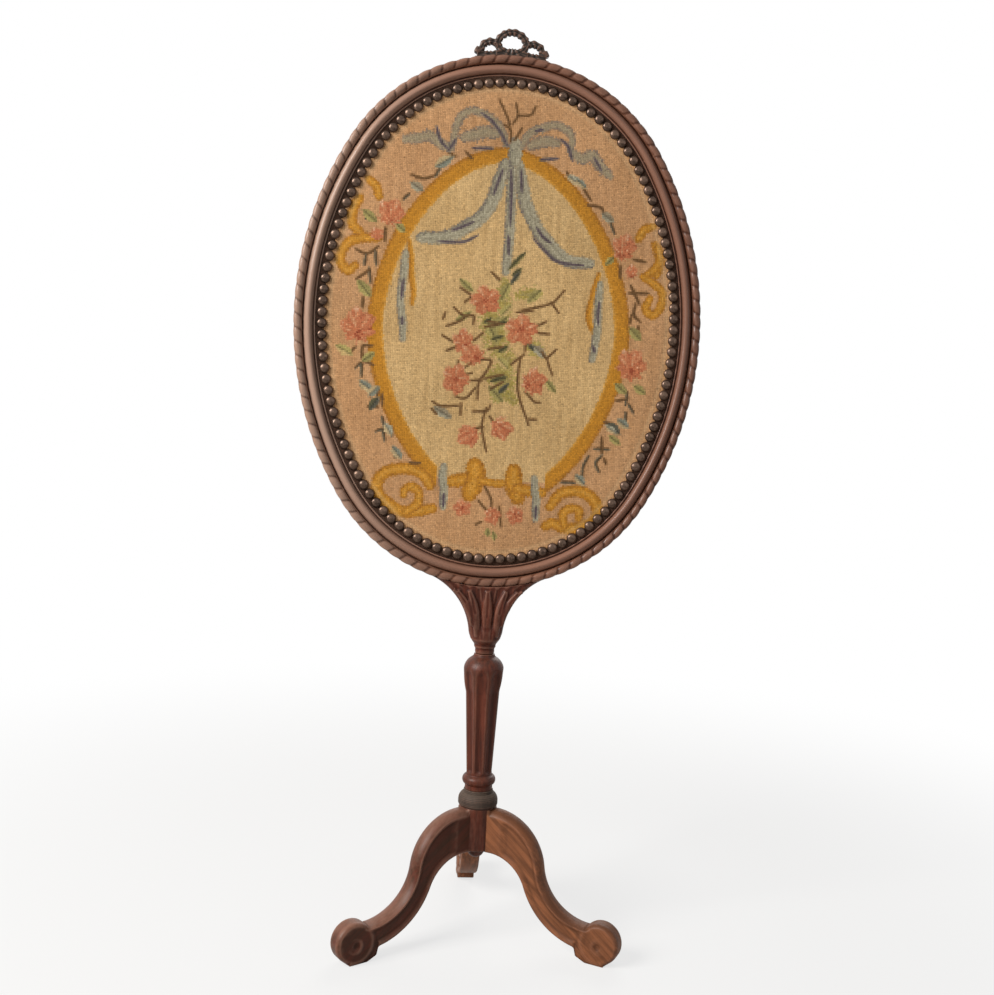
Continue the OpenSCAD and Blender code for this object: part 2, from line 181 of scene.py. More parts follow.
class Oval:
    """Four-centre oval of the frame's outer edge: each arc is centre x, centre z, radius, start, end."""

    def __init__(self):
        ease = mm(sizes().end_ease)
        self.end_r = OVAL_A - ease
        self.end_c = OVAL_B - self.end_r
        self.side_r = (self.end_c ** 2 + OVAL_A ** 2 - self.end_r ** 2) / (2 * ease)
        self.side_c = self.side_r - OVAL_A
        self.joint = math.degrees(math.atan2(self.end_c, self.side_c))
        j = self.joint
        self.arcs = {
            "right": (-self.side_c, 0, self.side_r, -j, j),
            "top": (0, self.end_c, self.end_r, j, 180 - j),
            "left": (self.side_c, 0, self.side_r, 180 - j, 180 + j),
            "bottom": (0, -self.end_c, self.end_r, 180 + j, 360 - j),
        }

    def inset(self, x, z):
        """Distance of points inside the outer edge, with x and z from the oval's middle."""
        x, z = np.abs(x), np.abs(z)
        at_end = (z - self.end_c) * self.side_c > x * self.end_c
        to_end = self.end_r - np.hypot(x, z - self.end_c)
        to_side = self.side_r - np.hypot(x + self.side_c, z)
        return np.where(at_end, to_end, to_side)

    def outline(self, u, step):
        """Closed line of points, a distance u inside the outer edge."""
        made = []
        for cx, cz, r, start, end in self.arcs.values():
            count = round(math.radians(end - start) * (r - u) / step)
            made.append(arc_points(cx, cz, r - u, start, end, count + 1)[:-1])
        return np.vstack(made)


def loft(loops, caps=True):
    """Points and faces of a skin over closed loops that all have the same number of points."""
    loops = np.asarray(loops, float)
    count, around = loops.shape[:2]
    at = np.arange(count * around).reshape(count, around)
    here, right = at[:-1], np.roll(at, -1, axis=1)[:-1]
    above, across = at[1:], np.roll(at, -1, axis=1)[1:]
    faces = np.stack([here, right, across, above], axis=-1).reshape(-1, 4).tolist()
    points = loops.reshape(-1, 3)
    if caps:
        points = np.vstack([points, loops[0].mean(0), loops[-1].mean(0)])
        low, high = count * around, count * around + 1
        for i in range(around):
            j = (i + 1) % around
            faces.append([low, j, i])
            faces.append([high, at[-1][i], at[-1][j]])
    return points, faces


def turned(profile, around, shape=None):
    """Points and faces of a turning. The profile is radius and height from its foot to its top.

    Shape says how deep the surface is cut at an angle and a height.
    """
    angles = np.arange(around) * math.tau / around
    r = np.asarray(profile, float)[:, 0][:, None] * np.ones(around)
    z = np.asarray(profile, float)[:, 1][:, None] * np.ones(around)
    if shape:
        r = r - shape(angles[None, :] * np.ones_like(r), z)
    return loft(np.stack([r * np.cos(angles), AXIS_Y + r * np.sin(angles), z], axis=-1))


def neighbour_mean(values, edges, count):
    """Mean of each point's neighbours."""
    total = np.zeros((count,) + values.shape[1:])
    np.add.at(total, edges[:, 0], values[edges[:, 1]])
    np.add.at(total, edges[:, 1], values[edges[:, 0]])
    shared = np.bincount(edges.ravel(), minlength=count).clip(1)
    return total / (shared[:, None] if values.ndim > 1 else shared)


def mesh_arrays(mesh):
    """Points, normals and edges of a mesh, in millimetres."""
    count = len(mesh.vertices)
    points = np.empty(count * 3)
    mesh.vertices.foreach_get("co", points)
    normals = np.empty(count * 3)
    mesh.vertices.foreach_get("normal", normals)
    edges = np.empty(len(mesh.edges) * 2, int)
    mesh.edges.foreach_get("vertices", edges)
    return points.reshape(-1, 3) / MM, normals.reshape(-1, 3), edges.reshape(-1, 2)


def set_attribute(mesh, name, values):
    """Stores one number or one vector for each point."""
    values = np.asarray(values, np.float32)
    vector = values.ndim > 1
    kind, field = ("FLOAT_VECTOR", "vector") if vector else ("FLOAT", "value")
    old = mesh.attributes.get(name)
    if old:
        mesh.attributes.remove(old)
    mesh.attributes.new(name, kind, "POINT").data.foreach_set(field, values.ravel())


def softened(values, edges, passes=1):
    """The same values, evened out over their neighbours."""
    for _ in range(passes):
        values = (values + neighbour_mean(values, edges, len(values))) / 2
    return values


def store_relief(mesh, reach, passes):
    """Marks crowns above 0 and hollows below 0. Reach is a height, in tenths of a millimetre."""
    points, normals, edges = mesh_arrays(mesh)
    soft = softened(points, edges, passes)
    height = ((points - soft) * normals).sum(1) / (0.1 * reach)
    set_attribute(mesh, "relief", np.clip(softened(height, edges), -1, 1))


def clean_mesh(mesh):
    """Turns every face outwards."""
    work = bmesh.new()
    work.from_mesh(mesh)
    bmesh.ops.recalc_face_normals(work, faces=work.faces)
    work.to_mesh(mesh)
    work.free()


def new_object(name, points, faces):
    """An object whose place is in its mesh, from points in millimetres."""
    mesh = bpy.data.meshes.new(name)
    mesh.from_pydata((np.asarray(points, float) * MM).tolist(), [], faces)
    mesh.validate()
    clean_mesh(mesh)
    made = bpy.data.objects.new(name, mesh)
    bpy.context.scene.collection.objects.link(made)
    return made


def baked(piece):
    """Applies the piece's modifiers and leaves a plain mesh."""
    bpy.context.view_layer.update()
    graph = bpy.context.evaluated_depsgraph_get()
    mesh = bpy.data.meshes.new_from_object(piece.evaluated_get(graph))
    old = piece.data
    piece.modifiers.clear()
    piece.data = mesh
    bpy.data.meshes.remove(old)
    return piece


def remeshed(piece, grain):
    """An even skin of small faces over everything in the piece's mesh."""
    modifier = piece.modifiers.new("skin", "REMESH")
    modifier.mode = "VOXEL"
    modifier.voxel_size = grain * MM
    modifier.adaptivity = 0
    return baked(piece)


def move_points(piece, points):
    """Gives the piece's points new places, in millimetres."""
    piece.data.vertices.foreach_set("co", (np.asarray(points) * MM).astype(np.float32).ravel())
    piece.data.update()


def finish_piece(piece, body, material, nodes, sharp=50):
    """Shades the piece, gives it its material and tells the frame what it rides on and stands for."""
    piece.data.shade_smooth()
    piece.data.set_sharp_from_angle(angle=math.radians(sharp))
    piece.data.materials.clear()
    piece.data.materials.append(material)
    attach(piece, body)
    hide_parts(*nodes)
    return piece


class Nodes:
    """Adds nodes to one tree."""

    def __init__(self, tree):
        self.tree = tree

    def node(self, kind, settings=None, inputs=None, output=0):
        """A node of this type, from its settings and its sockets by number, name or identifier."""
        made = self.tree.nodes.new(kind)
        for key, value in (settings or {}).items():
            setattr(made, key, value)
        for key, value in (inputs or {}).items():
            if isinstance(key, int):
                socket = made.inputs[key]
            else:
                socket = next(
                    s for s in made.inputs if key in (s.identifier, s.name) and s.enabled)
            if isinstance(value, Wire):
                self.tree.links.new(value.socket, socket)
            elif socket.type == "RGBA" and len(value) == 3:
                socket.default_value = (*value, 1)
            else:
                socket.default_value = value
        out = made.outputs[output] if isinstance(output, int) else next(
            s for s in made.outputs if output in (s.identifier, s.name) and s.enabled)
        return Wire(self, out)

    def mix(self, share, a, b, blend="MIX"):
        """Mixes two colours."""
        return self.node("ShaderNodeMix", {"data_type": "RGBA", "blend_type": blend},
                         {"Factor_Float": share, "A_Color": a, "B_Color": b}, "Result_Color")

    def noise(self, vector, scale, detail=3.0, rough=0.55):
        return self.node("ShaderNodeTexNoise", None,
                         {"Vector": vector, "Scale": scale, "Detail": detail, "Roughness": rough}, "Fac")

    def stretched(self, vector, scale, turn=(0, 0, 0)):
        """The same coordinates, turned and scaled along each axis."""
        return self.node("ShaderNodeMapping", None, {"Vector": vector, "Scale": scale, "Rotation": turn})

    def attribute(self, name, output="Fac"):
        return self.node("ShaderNodeAttribute", {"attribute_name": name}, None, output)

    def place(self):
        """Object coordinates."""
        return self.node("ShaderNodeTexCoord", None, None, "Object")

    def vector(self, x, y, z):
        return self.node("ShaderNodeCombineXYZ", None, {0: x, 1: y, 2: z})

    def bump(self, height, distance, strength):
        return self.node("ShaderNodeBump", None,
                         {"Height": height, "Distance": distance, "Strength": strength})

    def stored(self, name):
        """A number that a geometry tree reads from the mesh."""
        return self.node("GeometryNodeInputNamedAttribute", {"data_type": "FLOAT"}, {"Name": name},
                         "Attribute")

    def store(self, geometry, name, value, kind="FLOAT", domain="POINT"):
        """The geometry with this value on it."""
        return self.node("GeometryNodeStoreNamedAttribute", {"data_type": kind, "domain": domain},
                         {"Geometry": geometry, "Name": name, "Value": value})

    def end(self, wire, kind):
        """Leads the wire into an output node."""
        self.tree.links.new(wire.socket, self.tree.nodes.new(kind).inputs[0])


class Wire:
    """One output socket. Python's operators on it add Math nodes."""

    def __init__(self, nodes, socket):
        self.nodes, self.socket = nodes, socket

    def math(self, operation, *values, clamp=False):
        """A Math node of these values, or of this socket alone."""
        return self.nodes.node("ShaderNodeMath", {"operation": operation, "use_clamp": clamp},
                               dict(enumerate(values or (self,))))

    def axis(self, name):
        return self.nodes.node("ShaderNodeSeparateXYZ", None, {0: self}, name)

    def __add__(self, other):
        return self.math("ADD", self, other)

    def __sub__(self, other):
        return self.math("SUBTRACT", self, other)

    def __rsub__(self, other):
        return self.math("SUBTRACT", other, self)

    def __mul__(self, other):
        return self.math("MULTIPLY", self, other)

    def __truediv__(self, other):
        return self.math("DIVIDE", self, other)

    __radd__ = __add__
    __rmul__ = __mul__

    def __rtruediv__(self, other):
        return self.math("DIVIDE", other, self)

    def clamped(self):
        return self.math("ADD", self, 0.0, clamp=True)

    def between(self, low, high):
        """0 below low, 1 above high, with a soft step."""
        return self.nodes.node("ShaderNodeMapRange", {"interpolation_type": "SMOOTHSTEP"},
                               {"Value": self, "From Min": low, "From Max": high}, "Result")


def new_material(name):
    """An empty material and its node maker."""
    made = bpy.data.materials.new(name)
    made.use_nodes = True
    made.node_tree.nodes.clear()
    return made, Nodes(made.node_tree)


def surface(nodes, colour, rough, normal, **fixed):
    """Ends a material in a Principled surface. Fixed values are the same all over."""
    inputs = {"Base Color": colour, "Roughness": rough, "Normal": normal}
    inputs.update({key.replace("_", " "): value for key, value in fixed.items()})
    nodes.end(nodes.node("ShaderNodeBsdfPrincipled", None, inputs, "BSDF"), "ShaderNodeOutputMaterial")


def scaled(colour, factor):
    """A lighter or darker form of the same colour."""
    return [min(1, v * factor) for v in colour]


def wood_material(name, body, streak, worn, dust, wear=1.0, dusty=0.3, rough=0.30, painted_side_light=0.0,
                  coordinates="grain"):
    """Waxed wood: streaks and pores along the grain, rubbed crowns, dark hollows and a tint
    on upward faces: dust on most woods, painted shade on the lighter leg wood, and dust with
    painted light on the darker leg wood.

    Painted side light is how strongly a painted highlight lightens the side at low X and painted
    shade darkens the side at high X.
    """
    made, nodes = new_material(name)
    if coordinates == "grain":
        place = nodes.attribute("grain", "Vector")
        relief = nodes.attribute("relief")
    else:
        place = nodes.place()
        relief = nodes.noise(place, 60.0) - 0.5
    streaks = nodes.noise(nodes.stretched(place, (14, 260, 260)), 1.0, 5.0, 0.62)
    clouds = nodes.noise(nodes.stretched(place, (22, 40, 40)), 1.0, 3.0)
    pores = nodes.noise(nodes.stretched(place, (160, 1900, 1900)), 1.0, 2.0, 0.5)
    rubbed = nodes.noise(nodes.stretched(place, (130, 330, 330)), 1.0, 4.0, 0.65)
    fine = nodes.noise(place, 900.0, 2.0)
    colour = nodes.mix(streaks.between(0.32, 0.72), streak, body)
    colour = nodes.mix(clouds.between(0.35, 0.75) * 0.45, colour, scaled(body, 0.55))
    colour = nodes.mix(pores.between(0.60, 0.72) * 0.5, colour, streak)
    crown = (relief * 1.5 + rubbed * 1.2 - 0.72).clamped() * wear
    colour = nodes.mix(crown.clamped(), colour, worn)
    hollow = (relief * -1.6 - 0.10 + (fine - 0.5) * 0.4).clamped()
    colour = nodes.mix((hollow * 0.45).clamped(), colour, scaled(streak, 0.5))
    up = nodes.node("ShaderNodeNewGeometry", None, None, "Normal").axis("Z")
    # A tint on upward faces: dust on most woods, painted shade on the lighter leg wood, and dust with
    # painted light on the darker leg wood.
    dust_and_painted_light_mask = (up.between(0.15, 0.95) * (rubbed + 0.35) * dusty).clamped()
    colour = nodes.mix(dust_and_painted_light_mask, colour, dust)
    # Painted highlight on the side at low X and painted shade on the side at high X.
    if painted_side_light:
        side = nodes.place().axis("X")
        painted_left_light = (side * -1).between(0.02, 0.19) * (relief * 0.5 + 0.6).clamped()
        colour = nodes.mix((painted_left_light * painted_side_light).clamped(), colour, scaled(dust, 2.5))
        colour = nodes.mix(side.between(0.06, 0.20) * painted_side_light * 0.6, colour, streak)
    shine = rough + (streaks - 0.5) * 0.16 + hollow * 0.25 + dust_and_painted_light_mask * 0.3 + (rubbed - 0.5) * 0.14
    height = pores * -0.6 + streaks * 0.5 + fine * 0.25
    surface(nodes, colour, shine, nodes.bump(height, 0.00022, 0.7), Specular_IOR_Level=0.22)
    return made


def wool_material():
    """Wool tent stitch: each stitch's colour is stored on the mesh, and fibres slant across it."""
    made, nodes = new_material("needlepoint wool")
    place = nodes.node("ShaderNodeUVMap", {"uv_map": "stitches"})
    worked = nodes.attribute("wool", "Color")
    fibres = nodes.noise(nodes.stretched(place, (1.3, 7.0, 1), (0, 0, math.radians(42))), 1.0, 3.0, 0.6)
    hair = nodes.noise(place, 5.0, 3.0, 0.7)
    across, along = (place.axis(name).math("FRACT") - 0.5 for name in "XY")
    gap = (across - along).math("ABSOLUTE").between(0.42, 0.86)
    colour = worked
    for share, tint in ((gap * 0.34, (0.50, 0.44, 0.40)),
                        (fibres.between(0.35, 0.75) * 0.22, (1.25, 1.22, 1.18)),
                        (hair.between(0.55, 0.8) * 0.16, (0.70, 0.66, 0.62))):
        colour = nodes.mix(share, colour, nodes.mix(1.0, worked, tint, "MULTIPLY"))
    height = fibres * 0.5 + hair * 0.3 - gap * 0.9
    surface(nodes, colour, 0.9 + (hair - 0.5) * 0.1, nodes.bump(height, 0.00035, 0.8),
            Specular_IOR_Level=0.2, Sheen_Weight=0.12, Sheen_Roughness=0.5,
            Sheen_Tint=(0.9, 0.82, 0.7, 1))
    return made


def weave_material(name, colour, thread):
    """Plain woven cloth, with threads that far apart, in metres, and a few thick ones."""
    made, nodes = new_material(name)
    place = nodes.place()
    warp, weft = ((place.axis(name) * (math.tau / thread)).math("SINE") for name in "XZ")
    over = (warp * weft + 1) * 0.5
    slubs = nodes.noise(nodes.stretched(place, (30, 30, 500)), 1.0, 3.0)
    stains = nodes.noise(place, 14.0, 3.0)
    shade = nodes.mix(over * 0.45 + slubs.between(0.4, 0.8) * 0.3,
                      scaled(colour, 0.62), scaled(colour, 1.18))
    shade = nodes.mix(stains.between(0.45, 0.75) * 0.35, shade, scaled(colour, 0.6))
    surface(nodes, shade, 0.88 + (slubs - 0.5) * 0.1, nodes.bump(over + slubs * 0.5, 0.0002, 0.6),
            Specular_IOR_Level=0.25)
    return made


def nail_material():
    """Dark bronzed brass, each nail a little different, brighter on the domes: rubbed wear and a
    painted highlight.
    """
    made, nodes = new_material("bronzed nails")
    place = nodes.place()
    tone = nodes.attribute("tone")
    dome = nodes.attribute("dome")
    spots = nodes.noise(place, 420.0, 4.0, 0.65)
    stain = nodes.noise(place, 1500.0, 2.0)
    bronze = colours().bronze[:]
    # Lighter towards each dome's top: rubbed wear and a painted highlight.
    colour = nodes.mix((spots * 0.9 + tone * 0.6 - 0.30 + dome * 0.25).clamped(),
                       scaled(bronze, 0.30), bronze)
    colour = nodes.mix((dome.between(0.55, 1.0) * spots.between(0.45, 0.7)) * 0.5, colour,
                       scaled(bronze, 1.9))
    rough = 0.30 + (spots - 0.5) * 0.30 + tone * 0.10 - dome * 0.05
    surface(nodes, colour, rough, nodes.bump(spots + stain * 0.4, 0.00012, 0.6), Metallic=0.75,
            Specular_IOR_Level=0.5)
    return made


def tack_material():
    """Blued steel with specks of rust."""
    made, nodes = new_material("blued tacks")
    place = nodes.place()
    specks = nodes.noise(place, 700.0, 4.0, 0.7)
    colour = nodes.mix(specks.between(0.55, 0.75), colours().blued[:], (0.11, 0.045, 0.02))
    surface(nodes, colour, 0.38 + specks * 0.3, nodes.bump(specks, 0.0001, 0.5), Metallic=0.8)
    return made


MATERIALS = {}


def material(name):
    """The finish of that name, made on first use."""
    if name in MATERIALS:
        return MATERIALS[name]
    c = colours()
    plain = dict(worn=c.walnut_worn[:], dust=c.dust[:])
    woods = {
        # The frame's wood gets painted side light: a painted highlight on its left side and painted
        # shade on its right.
        "walnut_frame": ("waxed walnut", c.walnut[:], c.walnut_dark[:],
                         dict(plain, wear=0.7, dusty=0.06, rough=0.29, painted_side_light=0.5)),
        "walnut_crest": ("crest walnut, dusty", scaled(c.dust, 0.30), scaled(c.dust, 0.09),
                         dict(plain, wear=0.35, dusty=0.3)),
        # Two copies of the leg wood. The first is lighter as painted light, with painted shade as the
        # tint on its upward faces. The second is darker all over as painted shade, with dust and painted
        # light as the lighter tint on its upward faces.
        "walnut_leg": ("leg walnut", scaled(c.leg, 1.65), scaled(c.leg, 0.7),
                       dict(worn=c.walnut_worn[:], dust=scaled(c.leg, 0.45), wear=0.1, dusty=0.8,
                            rough=0.36)),
        "walnut_leg_painted_shade": ("darker leg walnut", scaled(c.turned, 0.85), scaled(c.leg, 0.3),
                            dict(worn=c.walnut_worn[:], dust=c.walnut_worn[:], wear=0.4, dusty=0.5,
                                 rough=0.36)),
        "walnut_turning": ("turned walnut", c.turned[:], scaled(c.turned, 0.33),
                           dict(plain, wear=0.3, dusty=0.12, rough=0.36)),
        "dusty_collar": ("dusty walnut", scaled(c.dust, 0.32), scaled(c.dust, 0.15),
                         dict(plain, wear=0.3, dusty=0.45, rough=0.6)),
        "beech_dowel": ("plain beech", c.beech[:], scaled(c.beech, 0.6),
                        dict(plain, wear=0.0, dusty=0.0, rough=0.55, coordinates="object")),
    }
    cloths = {"linen_canvas": ("linen canvas", c.linen[:], 0.0011),
              "backing_cotton": ("brown cotton", c.cotton[:], 0.0008)}
    others = {"needlepoint_wool": wool_material, "bronze_nail": nail_material,
              "blued_tack": tack_material}
    if name in woods:
        *colour, options = woods[name]
        MATERIALS[name] = wood_material(*colour, **options)
    elif name in cloths:
        MATERIALS[name] = weave_material(*cloths[name])
    else:
        MATERIALS[name] = others[name]()
    return MATERIALS[name]


# Places across the moulding, in millimetres: u is inside the outer edge and f is in front of the
# middle plane
BEAD_R = 4.5
BEAD_AT = (4.5, 6.5)
OUTER_U, INNER_U = 1.2, 36.0
LEDGE_F = 4.0
REBATE_U, REBATE_F = 27.0, -6.0
LINING_F = (4.0, 4.6)
WOOL_F = 4.6
NAIL_F = 5.8
BACKING_F = (-6.8, -6.0)
SWEEP_STEP = 1.05


def moulding_section():
    """Closed outline of the frame: rows of inset, rise, outward x and y, turn and ribbon share."""
    rows = []
    for degrees in range(205, 4, -9):
        a = math.radians(degrees)
        share = float(smooth(205, 180, degrees) * smooth(4, 34, degrees))
        rows.append((BEAD_AT[0] + BEAD_R * math.cos(a), BEAD_AT[1] + BEAD_R * math.sin(a),
                     math.cos(a), math.sin(a), degrees / 360, share))
    ovolo = [(9.1, 5.6), (9.4, 5.3), (9.9, 5.9), (10.7, 7.2), (11.8, 8.7), (13.0, 9.9), (14.3, 10.7),
             (15.6, 11.1), (16.9, 10.9), (18.0, 10.1), (18.9, 8.8), (19.5, 7.3), (19.9, 5.9)]
    fillet = [(20.1, 5.3), (20.5, 5.2), (20.8, 5.9), (21.3, 6.3), (21.8, 6.3), (22.2, 6.0), (22.35, 5.0)]
    ledge = [*((u, LEDGE_F) for u in (22.4, 26.0, 30.0, 35.4)), (INNER_U, LEDGE_F - 0.6)]
    step = [(INNER_U, -3.0), (INNER_U, REBATE_F), (REBATE_U, REBATE_F), (REBATE_U, 0.5 - FRAME_BACK)]
    back = [(REBATE_U - u, -FRAME_BACK)
            for u in (0.5, 1.1, 1.9, 3.0, 5.0, 11.0, 17.0, 19.6, 20.8, 21.7, 22.4)]
    outside = [(3.6, 0.5 - FRAME_BACK), (1.4, 2.8 - FRAME_BACK),
               *((OUTER_U, f) for f in (-6.5, -5.8, -5.0, -4.0, -2.6, -1.2, -0.2, 0.5)),
               (1.15, 3.2), (0.8, 4.2)]
    return rows + [(u, f, 0, 0, 0, 0) for u, f in ovolo + fillet + ledge + step + back + outside]


def geometry_tree(name, floats, whole):
    """A node tree, its node maker and a call that gives an input: a mesh, numbers and a finish."""
    tree = bpy.data.node_groups.new(name, "GeometryNodeTree")
    for key, kind in (("Geometry", "Geometry"), *((key, "Float") for key in floats), (whole, "Int"),
                      ("Finish", "Material")):
        tree.interface.new_socket(key, in_out="INPUT", socket_type=f"NodeSocket{kind}")
    tree.interface.new_socket("Geometry", in_out="OUTPUT", socket_type="NodeSocketGeometry")
    n = Nodes(tree)
    given = tree.nodes.new("NodeGroupInput")
    return tree, n, lambda key: Wire(n, given.outputs[key])


def end_tree(n, geometry, finish):
    """Ends a geometry tree in one plain mesh of this finish."""
    real = n.node("GeometryNodeRealizeInstances", None, {"Geometry": geometry})
    n.end(n.node("GeometryNodeSetMaterial", None, {"Geometry": real, "Material": finish}),
          "NodeGroupOutput")


def frame_tree():
    """Sweeps a section along one arc of the oval and cuts the ribbon's twists into its bead."""
    tree, n, value = geometry_tree(
        "moulding on an arc",
        ("Centre X", "Centre Z", "Radius", "Start", "End", "Pitch", "Depth", "Plane Y"), "Steps")
    section = n.node("GeometryNodeMeshToCurve", None, {"Mesh": value("Geometry")})
    rail = n.node("GeometryNodeResampleCurve", None, {
        "Curve": n.node("GeometryNodeCurvePrimitiveLine"), "Count": value("Steps")})
    factor = n.node("GeometryNodeSplineParameter", None, None, "Factor")
    rail = n.store(rail, "share along", factor)
    skin = n.node("GeometryNodeCurveToMesh", None,
                  {"Curve": rail, "Profile Curve": section, "Fill Caps": True})
    share = n.stored("share along")
    sweep = value("End") - value("Start")
    angle = value("Start") + sweep * share
    along = sweep * value("Radius") * share
    phase = along / value("Pitch") + n.stored("turn") * 0.9
    lobe = (phase.math("FRACT") * math.pi).math("SINE")
    cut = (1 - lobe.math("POWER", lobe, 0.55)) * value("Depth") * n.stored("ribbon")
    inset = n.stored("inset") - cut * n.stored("out x")
    rise = n.stored("rise") - cut * n.stored("out y")
    reach = value("Radius") - inset
    place = n.vector(value("Centre X") + reach * angle.math("COSINE"), value("Plane Y") - rise,
                     value("Centre Z") + reach * angle.math("SINE"))
    moved = n.node("GeometryNodeSetPosition", None, {"Geometry": skin, "Position": place})
    moved = n.store(moved, "grain", n.vector(along, inset, rise), "FLOAT_VECTOR")
    end_tree(n, moved, value("Finish"))
    return tree


def with_tree(piece, tree, values):
    """Runs a node tree on the piece with these inputs, and leaves a plain mesh."""
    modifier = piece.modifiers.new(tree.name, "NODES")
    modifier.node_group = tree
    for item in tree.interface.items_tree:
        if item.item_type == "SOCKET" and item.in_out == "INPUT" and item.name in values:
            modifier[item.identifier] = values[item.name]
    return baked(piece)


def build_frame(context):
    """Four moulded quarters, each swept along its own arc of the oval."""
    oval = Oval()
    rows = moulding_section()
    tree = frame_tree()
    for name, (cx, cz, r, start, end) in oval.arcs.items():
        mesh = bpy.data.meshes.new(f"moulding_{name}")
        count = len(rows)
        mesh.from_pydata([(u * MM, f * MM, 0) for u, f, *_ in rows],
                         [(i, (i + 1) % count) for i in range(count)], [])
        for column, key in enumerate(("inset", "rise", "out x", "out y", "turn", "ribbon")):
            scale = MM if column < 2 else 1
            set_attribute(mesh, key, [row[column] * scale for row in rows])
        piece = bpy.data.objects.new(f"moulding_{name}", mesh)
        context.scene.collection.objects.link(piece)
        length = math.radians(end - start) * r
        pitch = length / round(length / mm(sizes().ribbon_pitch))
        with_tree(piece, tree, {
            "Centre X": cx * MM, "Centre Z": (FRAME_MID + cz) * MM, "Radius": r * MM,
            "Start": math.radians(start), "End": math.radians(end), "Pitch": pitch * MM,
            "Depth": sizes().ribbon_depth, "Plane Y": AXIS_Y * MM,
            "Steps": int(length / SWEEP_STEP), "Finish": material("walnut_frame")})
        clean_mesh(piece.data)
        store_relief(piece.data, 1.6, 5)
        finish_piece(piece, "screen", material("walnut_frame"), [f"frame_{name}"], 40)


def row_tree():
    """Sets copies of the given head along the four arcs of the oval, each a little turned."""
    tree, n, value = geometry_tree(
        "heads round the oval",
        ("End Radius", "End Centre", "Side Radius", "Side Centre", "Joint", "Pitch", "Inset",
         "Plane Y", "Middle Z", "Tilt"), "Seed")
    quarter = math.pi / 2
    joined = tree.nodes.new("GeometryNodeJoinGeometry")
    arcs = (("Side", -1, 0), ("End", 0, 1), ("Side", 1, 0), ("End", 0, -1))
    for side, (kind, way_x, way_z) in enumerate(arcs):
        radius = value(f"{kind} Radius") - value("Inset")
        centre = value(f"{kind} Centre")
        half = value("Joint") if kind == "Side" else quarter - value("Joint")
        count = (half * 2 * radius / value("Pitch")).math("ROUND")
        points = n.node("GeometryNodePoints", None, {"Count": count})
        index = n.node("GeometryNodeInputIndex")
        angle = side * quarter - half + half * 2 * (index + 0.5) / count
        place = n.vector(centre * way_x + radius * angle.math("COSINE"), value("Plane Y"),
                         value("Middle Z") + centre * way_z + radius * angle.math("SINE"))
        row = n.node("GeometryNodeSetPosition", None, {"Geometry": points, "Position": place})
        tree.links.new(row.socket, joined.inputs[0])
    number = n.node("GeometryNodeInputIndex")

    def chance(low, high, step):
        return n.node("FunctionNodeRandomValue", {"data_type": "FLOAT"}, {
            "Min": low, "Max": high, "ID": number, "Seed": value("Seed") + step}, "Value")

    turn = n.vector(chance(-1.0, 1.0, 1) * value("Tilt"), chance(0.0, math.tau, 2),
                    chance(-1.0, 1.0, 3) * value("Tilt"))
    heads = n.node("GeometryNodeInstanceOnPoints", None, {
        "Points": Wire(n, joined.outputs[0]), "Instance": value("Geometry"),
        "Rotation": n.node("FunctionNodeEulerToRotation", None, {0: turn}),
        "Scale": chance(0.97, 1.0, 4)})
    heads = n.store(heads, "tone", chance(0.0, 1.0, 5), domain="INSTANCE")
    end_tree(n, heads, value("Finish"))
    return tree


def head_mesh(name, profile, around):
    """One head, its axis along -Y and its seat at the origin, from radius and height."""
    turn = np.arange(around) * math.tau / around
    c, s = np.cos(turn), np.sin(turn)
    loops = [np.column_stack([r * c, np.full(around, -h), r * s]) for r, h in profile]
    piece = new_object(name, *loft(loops))
    top = max(h for _, h in profile)
    set_attribute(piece.data, "dome", [max(0.0, -v.co.y / MM / top) for v in piece.data.vertices])
    return piece


def build_row(name, profile, around, pitch, inset, height, tilt, node, finish):
    """A row of like heads round the whole oval, as one piece."""
    oval = Oval()
    piece = head_mesh(name, profile, around)
    with_tree(piece, row_tree(), {
        "End Radius": oval.end_r * MM, "End Centre": oval.end_c * MM,
        "Side Radius": oval.side_r * MM, "Side Centre": oval.side_c * MM,
        "Joint": math.radians(oval.joint), "Pitch": pitch, "Inset": inset,
        "Plane Y": (AXIS_Y - height) * MM, "Middle Z": FRAME_MID * MM, "Tilt": math.radians(tilt),
        "Seed": 11, "Finish": material(finish)})
    clean_mesh(piece.data)
    return finish_piece(piece, "screen", material(finish), [node])


def build_nails(context):
    """The domed nails round the front and the flat tacks round the backing cloth."""
    r = mm(sizes().nail_diameter) / 2
    dome = [(0.6, -4.0), (0.8, 0.15), (r - 0.5, -0.05), (r - 0.05, 0.15), (r, 0.45), (r - 0.35, 1.05),
            (r * 0.84, 1.95), (r * 0.62, 2.75), (r * 0.36, 3.25), (r * 0.12, 3.4)]
    build_row("domed_nails", dome, 18, sizes().nail_pitch, sizes().nail_inset, NAIL_F, 3.0,
              "front_nails", "bronze_nail")
    flat = [(0.5, 4.0), (0.6, 0.0), (2.8, 0.0), (3.0, -0.35), (2.7, -0.8), (1.9, -1.1), (0.6, -1.2)]
    build_row("cloth_tacks", flat, 12, sizes().tack_pitch, sizes().tack_inset, BACKING_F[0], 2.0,
              "backing_tacks", "blued_tack")


